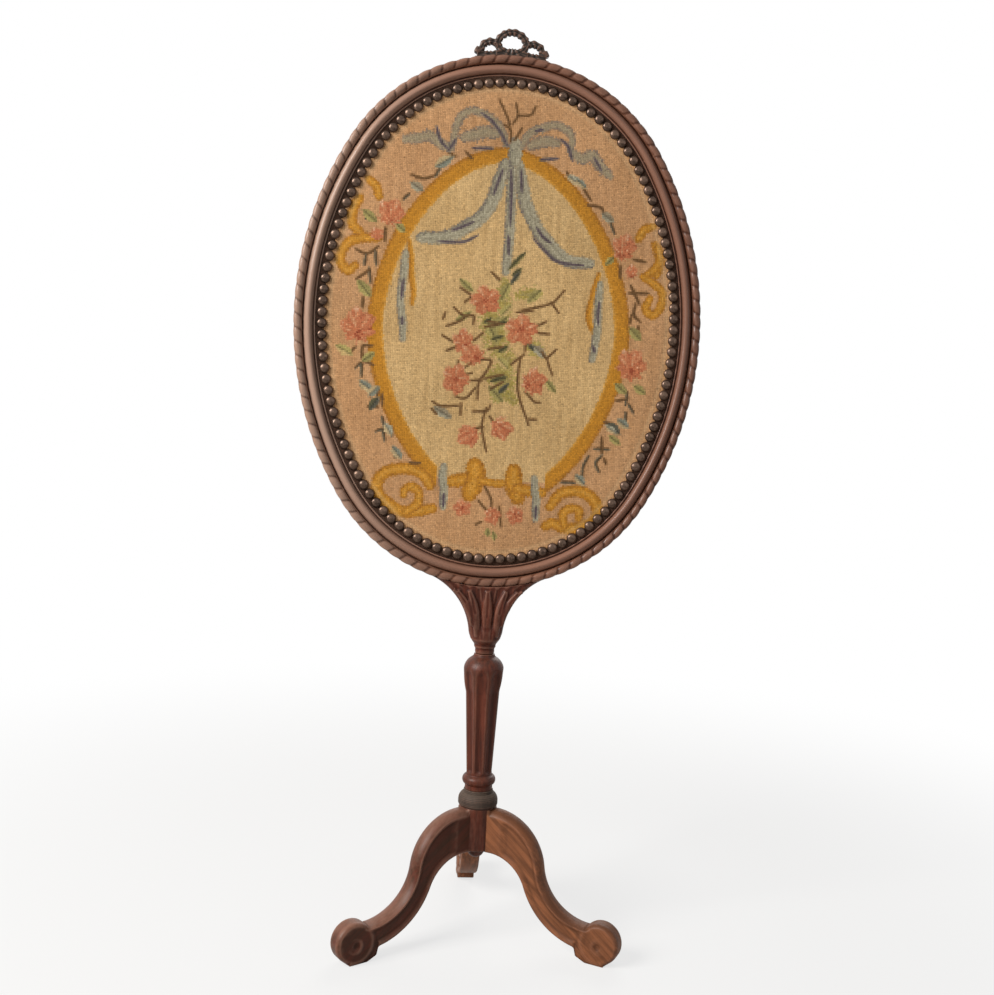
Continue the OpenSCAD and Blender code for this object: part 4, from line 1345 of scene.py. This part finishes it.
# Side outline of a leg, in millimetres: circles are distance from the axis, height and radius
KNEE = (20.5, 73.7, 58.0)
INSTEP = 34.0
ANKLE_U = 130.0
ANKLE_W = 22.5
SCROLL = (143.7, 20.4, 19.7)
EYE = (SCROLL[0] - 1, SCROLL[1] - 2)
HUB_LOW = 87.0
# How far the edges are rounded at the knee and at the ankle
KNEE_DROP, ANKLE_DROP = 6.6, 2.6
# Parts of the outline that are on the back and on the underside
ON_BACK, ON_UNDERSIDE = (0, 1), (4, 5)
# Stands for the distance to a part that isn't the nearest one
FAR = 99.0
# Slope of the grain, in degrees
GRAIN_LEAN = 38


def leg_arcs():
    """Circles of the ankle's upper and lower edge and of the hollow under the knee."""
    span, drop = ANKLE_U - KNEE[0], INSTEP - KNEE[1]
    ankle_r = (span ** 2 + drop ** 2 - KNEE[2] ** 2) / (2 * (KNEE[2] - drop))
    ankle_z = INSTEP + ankle_r
    heel_r = ankle_r + ANKLE_W
    rise = ankle_z - HUB_LOW
    under_r = (span ** 2 + rise ** 2 - heel_r ** 2) / (2 * (heel_r - rise))
    under_z = HUB_LOW - under_r
    knee_turn = math.degrees(math.atan2(ankle_z - KNEE[1], span))
    under_turn = math.degrees(math.atan2(ankle_z - under_z, span))
    return ankle_z, ankle_r, heel_r, (KNEE[0], under_z, under_r), knee_turn, under_turn


def leg_outline():
    """The leg's closed outline, and for each point how round its edge is and which part it is on."""
    ankle_z, ankle_r, heel_r, under, knee_turn, under_turn = leg_arcs()
    wedge = SCROLL[0] - 26
    heel_turn = 270 - math.degrees(math.asin((ANKLE_U - wedge) / heel_r))
    start = math.degrees(math.acos((ANKLE_U - SCROLL[0]) / SCROLL[2]))
    parts = [
        (arc_points(KNEE[0], KNEE[1], KNEE[2], 92, knee_turn, 40), KNEE_DROP),
        (arc_points(ANKLE_U, ankle_z, ankle_r, 182 + knee_turn, 270, 40), ANKLE_DROP),
        (arc_points(*SCROLL, start, -55, 60), 6.0),
        (np.array([(149.7, 0.0), (129.7, 0.0), (119.7, 4.5)]), 0.6),
        (arc_points(ANKLE_U, ankle_z, heel_r, heel_turn, 180 + under_turn, 40), 2.0),
        (arc_points(*under, under_turn + 2, 90, 24), 2.0),
        (np.array([(12.0, HUB_LOW), (12.0, KNEE[1] + KNEE[2])]), 0.4),
    ]
    line = np.vstack([p for p, _ in parts])
    edge = np.concatenate([np.full(len(p), r) for p, r in parts])
    back = len(parts[0][0]) + len(parts[1][0])
    edge[:back] = np.linspace(KNEE_DROP, ANKLE_DROP, back)
    kind = np.concatenate([np.full(len(p), i) for i, (p, _) in enumerate(parts)])
    return line, edge, kind


def nearest_on(line, points):
    """For points in a plane: distance to a closed line, the nearest place and its segment."""
    best = np.full(len(points), np.inf)
    place = np.zeros((len(points), 2))
    segment = np.zeros(len(points), int)
    for i, (start, end) in enumerate(zip(line, np.roll(line, -1, axis=0))):
        way = end - start
        length = (way ** 2).sum()
        if length < 1e-9:
            continue
        t = np.clip(((points - start) @ way) / length, 0, 1)[:, None]
        spot = start + way * t
        gap = ((points - spot) ** 2).sum(1)
        closer = gap < best
        best[closer], place[closer], segment[closer] = gap[closer], spot[closer], i
    return np.sqrt(best), place, segment


def unit(rows):
    """The same directions with a length of one."""
    return rows / np.linalg.norm(rows, axis=1).clip(1e-6)[:, None]


def leg_carving(flat, gap, drop, part):
    """How deep a leg's side is cut: its sunk field, the groove of the lower bead and the scroll."""
    to_under = np.where(np.isin(part, ON_UNDERSIDE), gap, FAR)
    to_back = np.where(np.isin(part, ON_BACK), gap, FAR)
    groove = np.exp(-((to_under - 3.6) / 0.7) ** 2)
    sunk = smooth(2.8, 7.0, to_under) * smooth(drop - 0.4, drop + 3.6, to_back)
    from_middle = np.hypot(*(flat - SCROLL[:2]).T)
    along = smooth(30, 40, flat[:, 0]) * smooth(SCROLL[2] - 2, SCROLL[2] + 4, from_middle)
    eye_x, eye_z = (flat - EYE).T
    turn = np.arctan2(eye_z, eye_x)
    from_eye = np.hypot(eye_x, eye_z)
    curl = np.exp(-((from_eye - 6.8 - 1.2 * np.cos(turn)) / 2.2) ** 2)
    curl = curl * (0.55 - 0.45 * np.cos(turn - 0.4))
    hole = np.exp(-(from_eye / 3.2) ** 4)
    dish = 1 - smooth(SCROLL[2] - 6, SCROLL[2] - 1, from_middle)
    return (2.0 * sunk + 0.4 * groove) * along + 0.7 * dish + 1.1 * hole - 1.0 * curl


def leg_mesh():
    """One leg along +X: a sawn outline with a rounded back, carved sides and the marks of the tool."""
    line, edge, kind = leg_outline()
    half = mm(sizes().leg_thickness) / 2
    count = len(line)
    sides = [np.column_stack([line[:, 0], np.full(count, v), line[:, 1]]) for v in (-half, half)]
    walls = [[i, (i + 1) % count, count + (i + 1) % count, count + i] for i in range(count)]
    piece = new_object("leg", np.vstack(sides), walls + [
        list(range(count))[::-1], list(range(count, 2 * count))])
    remeshed(piece, mm(sizes().carving_grain))

    points, _, edges = mesh_arrays(piece.data)
    flat, v = points[:, [0, 2]], points[:, 1]
    gap, place, segment = nearest_on(line, flat)
    way = np.roll(line, -1, axis=0) - line
    normal = unit(np.column_stack([way[:, 1], -way[:, 0]])[segment])
    inward = flat - place
    clear = np.linalg.norm(inward, axis=1) > 0.6
    inward = unit(softened(np.where(clear[:, None], unit(inward), normal), edges, 6))

    drop = edge[segment]
    back = np.isin(kind[segment], ON_BACK)
    radius = np.where(back, (half ** 2 + drop ** 2) / (2 * drop), drop)
    from_middle = np.where(back, 0, half - radius)
    dx, dv = gap - radius, np.abs(v) - from_middle
    norm = np.hypot(dx, dv).clip(1e-6)
    corner = (gap < drop) & (dv > 0) & (norm > radius)
    new_gap = np.where(corner, radius + dx / norm * radius, gap)
    reach = np.where(corner, from_middle + dv / norm * radius, np.abs(v))
    on_side = smooth(half - 1.2, half - 0.3, reach)
    tool = wave_noise(points[:, 0] * 1.2, points[:, 2] * 1.2 + v, 13, 22)
    reach = reach - on_side * leg_carving(flat, gap, drop, kind[segment]) + 0.12 * tool * on_side
    moved = points.copy()
    moved[:, [0, 2]] += (new_gap - gap)[:, None] * inward
    moved[:, 1] = np.sign(v) * reach
    move_points(piece, softened(moved, edges))
    return piece


def build_legs(context):
    """Three copies of one carved leg, each turned to its place and with its own grain."""
    pattern = leg_mesh()
    store_relief(pattern.data, 1.5, 5)
    points, _, _ = mesh_arrays(pattern.data)
    points[:, 2] -= points[:, 2].min()
    x, y, z = points.T
    lean = math.radians(GRAIN_LEAN)
    along = x * math.cos(lean) - z * math.sin(lean)
    over = x * math.sin(lean) + z * math.cos(lean)
    # The front left leg takes the darker leg wood with its painted shade, the other two the lighter one.
    for number, (name, degrees, finish) in enumerate((
            ("leg_front_left", 210, "walnut_leg_painted_shade"), ("leg_front_right", -30, "walnut_leg"),
            ("leg_rear", 90, "walnut_leg"))):
        piece = bpy.data.objects.new(name.replace("leg", "scroll_leg"), pattern.data.copy())
        context.scene.collection.objects.link(piece)
        c, s = math.cos(math.radians(degrees)), math.sin(math.radians(degrees))
        move_points(piece, np.column_stack([x * c - y * s, x * s + y * c + AXIS_Y, z]))
        grain = np.column_stack([along, y, over]) * MM + [0.31 * number, 0.17 * number, 0]
        set_attribute(piece.data, "grain", grain)
        finish_piece(piece, "stand", material(finish), [name], 60)
    old = pattern.data
    bpy.data.objects.remove(pattern)
    bpy.data.meshes.remove(old)


def powered(values, power):
    """The same values, each raised to this power with its sign kept."""
    return np.sign(values) * np.abs(values) ** power


def ribbon_solid(points, widths, depths, middle_y, square=0.6):
    """Skin of a flat carved ribbon along a line in the plane of the screen, for joining by a remesh."""
    line = curve_through(points, 1.2)
    way = unit(np.gradient(line, axis=0))
    share = np.linspace(0, 1, len(line))
    half, depth = (np.interp(share, np.linspace(0, 1, len(v)), v) / 2 for v in (widths, depths))
    turn = np.arange(16) * math.tau / 16
    side, front = powered(np.cos(turn), square), powered(np.sin(turn), square)
    return loft([np.column_stack([x - dz * h * side, middle_y - d * front, z + dx * h * side])
                 for (x, z), (dx, dz), h, d in zip(line, way, half, depth)])


def distance_to(line, points):
    """Distance of points in a plane from a smooth line."""
    path = curve_through(line, 0.8)
    return np.sqrt(((points[:, None] - path[None]) ** 2).sum(2)).min(1)


def joined_solids(name, solids, grain):
    """One carved piece from several closed solids that pass into each other."""
    points, faces, count = [], [], 0
    for p, f in solids:
        points.append(p)
        faces += [[i + count for i in face] for face in f]
        count += len(p)
    return remeshed(new_object(name, np.vstack(points), faces), grain)


def build_crest(context):
    """Openwork bow over the frame: a middle loop, two side loops, their crossings and the ends."""
    oval = Oval()
    depth = [8.6]

    def over(x):
        """Height of the frame's outer edge under this place, from its top."""
        return math.sqrt(oval.end_r ** 2 - x * x) - oval.end_r

    right = [(9.5, 4.6), (14.9, 11.5), (13.0, 19.2), (6.5, 24.2)]
    middle = [(0, 1.2), *((-x, z) for x, z in right), (0, 25.5), *right[::-1], (0, 1.2)]
    solids = [(middle, [8.0, 8.0, 7.6, 7.0, 6.6, 7.0, 7.6, 8.0, 8.0], depth),
              ([(-11, 4.4), (0, 3.6), (11, 4.4)], [7.0, 8.4, 7.0], depth),
              ([(0, -1.0), (0, 7.4)], [8.2, 7.2, 5.2], [9.4, 8.6]),
              ([(0, 25.0), (0, 27.4)], [9.0, 7.0], [9.4])]
    for side in (-1, 1):
        loop = [(13, 11.8), (18, 14.0), (24.5, 14.2), (30, 11.2), (32.4, 6.6)]
        low = [(x, z + over(x) * 0.85) for x, z in (
            (10, 3.6), (16, 2.6), (24, 2.0), (31, 2.6), (36.5, 2.2))]
        half = [(loop, [7.0, 6.8, 7.0, 7.0, 7.0], depth), (low, [7.4, 6.6, 6.0, 7.0, 6.4], depth),
                ([(33.8, 7.0), (36.4, 3.0 + over(39) * 0.5)], [8.6, 7.6], [8.8])]
        for x, z, across in ((10.8, 20.6, 7.4), (17.4, 14.6, 6.0), (23.0, 15.0, 6.6), (29.4, 12.0, 6.2)):
            half.append(([(x - 1.2, z - 1.6), (x, z + 0.4)], [across], [9.4]))
        solids += [([(side * x, z) for x, z in line], widths, deep) for line, widths, deep in half]
    foot = [(x, over(x) - 0.6) for x in (-39, -28, -14, 0, 14, 28, 39)]
    skins = [ribbon_solid([(x, FRAME_TOP_Z + z) for x, z in line], widths, deep, AXIS_Y - 1.6)
             for line, widths, deep in (*solids, (foot, [4.2, 5.0, 5.4, 5.0, 4.2], [9.0]))]
    piece = joined_solids("bow_crest", skins, 0.55)

    points, normals, _ = mesh_arrays(piece.data)
    flat = points[:, [0, 2]] - [0, FRAME_TOP_Z]
    facing = smooth(0.35, 0.8, np.abs(normals[:, 1]))
    cut = np.zeros(len(points))
    for line, _, _ in solids:
        if len(line) > 3:
            cut = np.maximum(cut, 1 - smooth(0.4, 1.5, distance_to(line, flat)))
    x, z = flat.T
    turn = np.where(np.abs(x) > 17, np.arctan2(z - 7, np.abs(x) - 24) * 7, np.arctan2(z - 13, x) * 13)
    ribs = 0.5 + 0.5 * np.sin(turn + 0.9 * wave_noise(x, z, 9, 21))
    move = -(0.5 * cut + 0.8 * ribs) * facing + (0.5 - ribs) * (1 - facing) * smooth(2, 4, z)
    moved = points + normals * move[:, None]
    moved[:, 2] = np.minimum(moved[:, 2], CREST_TOP - 0.1)
    move_points(piece, moved)
    finish_carved(piece, "screen", "walnut_crest", "crest", 1.0, 6, 60, upright=False)


def build_bracket(context):
    """Carved leaf between column and frame: a turned neck that spreads into ribbed lobes."""
    frame_r = Oval().end_r
    base, height = COLUMN_TOP, FRAME_Z - COLUMN_TOP
    around, half_t = 200, 11.0
    turn = np.arange(around) * math.tau / around
    c, s = np.cos(turn), np.sin(turn)

    def roof(x):
        """Height of the frame's outer edge over the bracket's foot."""
        return height + frame_r - np.sqrt(frame_r ** 2 - x ** 2)

    neck = rounded([(9.4, 0.05), (10.2, 0.4), (10.3, 4.4), (9.5, 5.4), (10.7, 6.0), (11.7, 7.7),
                    (11.1, 9.3), (12.2, 10.8), (13.7, 12.8), (15.1, 15.0)], 0.5)
    loops = [np.column_stack([r * c, r * s, np.full(around, base + z)]) for r, z in dense(neck, 0.7)]
    # The sides sweep out on a circle that touches the frame's own
    waist, waist_z = 17.6, 15.5
    room = height - waist_z
    sweep = (waist ** 2 + 2 * room * frame_r + room ** 2) / (2 * (frame_r - waist))
    meet = waist_z + (frame_r + room) * sweep / (frame_r + sweep)
    for z in np.linspace(15.4, meet, 110):
        wide = waist + sweep - math.sqrt(sweep ** 2 - max(0.0, z - waist_z) ** 2)
        wide = 15.4 + (wide - 15.4) * float(smooth(13, 23, z))
        power = 2 + 1.6 * float(smooth(20, 52, z))
        deep = 15.0 + (half_t - 15.0) * float(smooth(17, 44, z))
        x, v = powered(c, 2 / power) * wide, powered(s, 2 / power) * deep
        share = x / wide
        ribs = np.cos(share * math.pi * 9) * (1 - 0.25 * np.abs(share))
        start = smooth(24, 36, z + 6 * np.abs(share))
        v = v * (1 - 0.09 * start * (0.5 - 0.5 * ribs) * (np.abs(s) > 0.15))
        loops.append(np.column_stack([x, v, base + np.minimum(float(z), roof(x) + 0.4)]))
    points, faces = loft(loops)
    points[:, 1] += AXIS_Y
    skins = [(points, faces)]
    lobes = [([(0, 18), (0, 32), (0, 46), (0, 58), (0, 67)], [7.0, 10.5, 12.5, 10.5, 5.0],
              [4.0, 6.4, 6.2, 5.6, 4.4])]
    for side in (-1, 1):
        lobes += [([(side * x, z) for x, z in line], widths, deep) for line, widths, deep in (
            ([(9.2, 19), (10.6, 32), (12.6, 46), (16, 58), (19.5, 67)], [6.4, 8.4, 9.6, 8.2, 4.4],
             [4.0, 6.0, 5.8, 5.0, 4.2]),
            ([(15.5, 30), (17.6, 42), (23.0, 54), (32, 66.5)], [3.4, 6.2, 7.8, 7.0, 4.0],
             [2.6, 4.6, 4.8, 4.4, 3.8]),
            ([(24, 56), (30, 62.5), (36.5, 67.5)], [2.4, 3.6, 3.4], [2.6, 3.6, 3.6]))]
    for line, widths, deep in lobes:
        skins += [ribbon_solid([(x, base + z) for x, z in line], widths, deep, AXIS_Y + y, 0.9)
                  for y in (-half_t, half_t)]
    piece = joined_solids("leaf_bracket", skins, 0.75)

    points, normals, edges = mesh_arrays(piece.data)
    flat = points[:, [0, 2]] - [0, base]
    facing = smooth(0.3, 0.75, np.abs(normals[:, 1]))
    veins = np.zeros(len(points))
    strands = [[(0, 40), (0, 68)]]
    for side in (-1, 1):
        strands += [[(side * x, z) for x, z in line] for line in (
            [(4.9, 18), (5.6, 32), (7.0, 46), (8.6, 58), (10, 68)], [(12.8, 44), (16, 57), (19, 66)],
            [(23.4, 55), (31, 65)])]
    for line in strands:
        veins = np.maximum(veins, 1 - smooth(0.3, 1.5, distance_to(line, flat)))
    moved = points - normals * (0.6 * veins * facing)[:, None]
    moved[:, 2] = np.minimum(moved[:, 2], base + roof(np.clip(flat[:, 0], -60, 60)) + 0.3)
    moved = softened(moved, edges, 4)
    moved[:, 2] = np.maximum(moved[:, 2], base + 0.02)
    move_points(piece, moved)
    finish_carved(piece, "screen", "walnut_turning", "bracket", 1.3, 6, 60)


def build_dowels(context):
    """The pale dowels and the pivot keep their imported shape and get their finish."""
    for node in ("pivot_dowel", "bracket_dowels", "frame_dowels", "crest_dowels"):
        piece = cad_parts[node]
        piece.data.materials.clear()
        piece.data.materials.append(material("beech_dowel"))


# Camera fitted to the photograph: place in metres, turn and roll in degrees, lens in millimetres
CAMERA_AT = (-0.0952, -1.1824, 0.5297)
CAMERA_TURN = 4.75
CAMERA_ROLL = 2.6
CAMERA_LENS = 39.31
CAMERA_SHIFT = (0.0023, -0.0693)

# Lamps, aimed at the middle of the screen: name, place, size, power and colour
LAMPS = (("key", (-2.05, -1.2, 1.8), 1.35, 98.0, (1.0, 0.975, 0.94)),
         ("fill", (1.7, -1.5, 1.0), 1.6, 2.5, (0.95, 0.97, 1.0)),
         ("back", (0.6, 1.9, 1.6), 1.6, 26.0, (1.0, 0.98, 0.95)))
LAMPS_AIM = (0, 0, 0.5)
FLOOR_Z = -0.4
FLOOR_RINGS = (350, 800, 2000, 6000)


def build_floor():
    """A round floor that fades to white away from the screen."""
    turn = np.arange(48) * math.tau / 48
    points, faces = loft([np.column_stack([r * np.cos(turn), r * np.sin(turn), np.full(48, FLOOR_Z)])
                          for r in FLOOR_RINGS], caps=False)
    centre = len(points)
    faces += [[(i + 1) % 48, i, centre] for i in range(48)]
    floor = new_object("studio_floor", np.vstack([points, [[0, 0, FLOOR_Z]]]), faces)
    for face in floor.data.polygons:
        if face.normal.z < 0:
            face.flip()
    made, nodes = new_material("studio floor")
    far = nodes.node("ShaderNodeVectorMath", {"operation": "LENGTH"}, {0: nodes.place()}, "Value")
    fade = 0.72 + 0.28 * far.between(0.35, 1.3)
    diffuse = nodes.node("ShaderNodeBsdfDiffuse", None, {"Color": (0.64, 0.635, 0.625)})
    white = nodes.node("ShaderNodeEmission", None, {"Color": (1, 1, 1), "Strength": 1.0})
    seen = nodes.node("ShaderNodeLightPath", None, None, "Is Camera Ray")
    nodes.end(nodes.node("ShaderNodeMixShader", None, {0: fade * seen, 1: diffuse, 2: white}),
              "ShaderNodeOutputMaterial")
    floor.data.materials.append(made)


def build_world(scene):
    """White to the camera and in reflections, and a dim light on the rest."""
    world = bpy.data.worlds.new("studio")
    scene.world = world
    world.use_nodes = True
    world.node_tree.nodes.clear()
    sky = Nodes(world.node_tree)
    camera, glossy, through = (sky.node("ShaderNodeLightPath", None, None, f"Is {kind} Ray")
                               for kind in ("Camera", "Glossy", "Transmission"))
    seen = camera.math("MAXIMUM", camera, glossy.math("MAXIMUM", glossy, through))
    light = sky.node("ShaderNodeBackground", None, {"Color": (1.0, 0.99, 0.97), "Strength": 0.17})
    white = sky.node("ShaderNodeBackground", None, {"Color": (1, 1, 1), "Strength": 1.0})
    sky.end(sky.node("ShaderNodeMixShader", None, {0: seen, 1: light, 2: white}),
            "ShaderNodeOutputWorld")


def build_stage(context):
    """Floor, backdrop, lamps and the camera at the photograph's angle."""
    build_floor()
    build_world(context.scene)
    for name, at, size, power, colour in LAMPS:
        data = bpy.data.lights.new(name, "AREA")
        data.size, data.energy, data.color = size, power, colour
        lamp = bpy.data.objects.new(name, data)
        lamp.location = at
        lamp.rotation_euler = (Vector(LAMPS_AIM) - Vector(at)).to_track_quat("-Z", "Y").to_euler()
        context.scene.collection.objects.link(lamp)
    data = bpy.data.cameras.new("camera")
    data.lens, data.sensor_width = CAMERA_LENS, 36
    data.shift_x, data.shift_y = CAMERA_SHIFT
    camera = bpy.data.objects.new("camera", data)
    facing = Matrix.Rotation(-math.radians(CAMERA_TURN), 4, "Z") @ Matrix.Rotation(math.pi / 2, 4, "X")
    camera.matrix_world = (Matrix.Translation(CAMERA_AT) @ facing
                           @ Matrix.Rotation(math.radians(CAMERA_ROLL), 4, "Z"))
    context.scene.collection.objects.link(camera)
    context.scene.camera = camera
    context.scene.view_settings.view_transform = "Standard"


class StepOperator:
    """What the operators share: a step runs its builder, and a failure stops the script."""

    bl_options = {"REGISTER", "UNDO"}

    def execute(self, context):
        self.build(context)
        return {"FINISHED"}


class FIRESCREEN_OT_stage(StepOperator, bpy.types.Operator):
    """Make the floor, the lamps and the camera"""
    bl_idname = "firescreen.stage"
    bl_label = "Stage"
    build = staticmethod(build_stage)


class FIRESCREEN_OT_frame(StepOperator, bpy.types.Operator):
    """Make the four moulded quarters of the oval frame"""
    bl_idname = "firescreen.frame"
    bl_label = "Oval frame"
    build = staticmethod(build_frame)


class FIRESCREEN_OT_crest(StepOperator, bpy.types.Operator):
    """Make the openwork crest"""
    bl_idname = "firescreen.crest"
    bl_label = "Crest"
    build = staticmethod(build_crest)


class FIRESCREEN_OT_cloths(StepOperator, bpy.types.Operator):
    """Make the lining canvas and the backing cloth"""
    bl_idname = "firescreen.cloths"
    bl_label = "Lining and backing"
    build = staticmethod(build_cloths)


class FIRESCREEN_OT_needlework(StepOperator, bpy.types.Operator):
    """Work the needlepoint, stitch by stitch"""
    bl_idname = "firescreen.needlework"
    bl_label = "Needlepoint"
    build = staticmethod(build_needlework)


class FIRESCREEN_OT_nails(StepOperator, bpy.types.Operator):
    """Set the row of domed nails and the tacks at the back"""
    bl_idname = "firescreen.nails"
    bl_label = "Nails and tacks"
    build = staticmethod(build_nails)


class FIRESCREEN_OT_bracket(StepOperator, bpy.types.Operator):
    """Carve the leaf bracket under the frame"""
    bl_idname = "firescreen.bracket"
    bl_label = "Leaf bracket"
    build = staticmethod(build_bracket)


class FIRESCREEN_OT_column(StepOperator, bpy.types.Operator):
    """Turn and flute the column"""
    bl_idname = "firescreen.column"
    bl_label = "Column"
    build = staticmethod(build_column)


class FIRESCREEN_OT_hub(StepOperator, bpy.types.Operator):
    """Turn the collar and the hub with its drop"""
    bl_idname = "firescreen.hub"
    bl_label = "Collar and hub"
    build = staticmethod(build_hub)


class FIRESCREEN_OT_legs(StepOperator, bpy.types.Operator):
    """Carve the three scroll legs"""
    bl_idname = "firescreen.legs"
    bl_label = "Legs"
    build = staticmethod(build_legs)


class FIRESCREEN_OT_dowels(StepOperator, bpy.types.Operator):
    """Give the dowels and the pivot their finish"""
    bl_idname = "firescreen.dowels"
    bl_label = "Dowels and pivot"
    build = staticmethod(build_dowels)


STEPS = (
    FIRESCREEN_OT_stage, FIRESCREEN_OT_frame, FIRESCREEN_OT_crest, FIRESCREEN_OT_cloths,
    FIRESCREEN_OT_needlework, FIRESCREEN_OT_nails, FIRESCREEN_OT_bracket, FIRESCREEN_OT_column,
    FIRESCREEN_OT_hub, FIRESCREEN_OT_legs, FIRESCREEN_OT_dowels,
)


class FIRESCREEN_PT_panel(bpy.types.Panel):
    """Sizes, colours and steps of the fire screen"""
    bl_idname = "FIRESCREEN_PT_panel"
    bl_label = "Fire Screen"
    bl_space_type = "VIEW_3D"
    bl_region_type = "UI"
    bl_category = "Fire Screen"

    def draw(self, context):
        layout = self.layout
        for group in (context.scene.fire_screen_sizes, context.scene.fire_screen_colours):
            box = layout.box()
            for key in group.__annotations__:
                box.prop(group, key)
        for step in STEPS:
            layout.operator(step.bl_idname)


CLASSES = (FireScreenSizes, FireScreenColours, *STEPS, FIRESCREEN_PT_panel)


def register():
    for cls in CLASSES:
        bpy.utils.register_class(cls)
    bpy.types.Scene.fire_screen_sizes = PointerProperty(type=FireScreenSizes)
    bpy.types.Scene.fire_screen_colours = PointerProperty(type=FireScreenColours)


def unregister():
    del bpy.types.Scene.fire_screen_colours
    del bpy.types.Scene.fire_screen_sizes
    for cls in reversed(CLASSES):
        bpy.utils.unregister_class(cls)


def main():
    register()
    for step in STEPS:
        group, name = step.bl_idname.split(".")
        getattr(getattr(bpy.ops, group), name)()


if __name__ == "__main__":
    main()
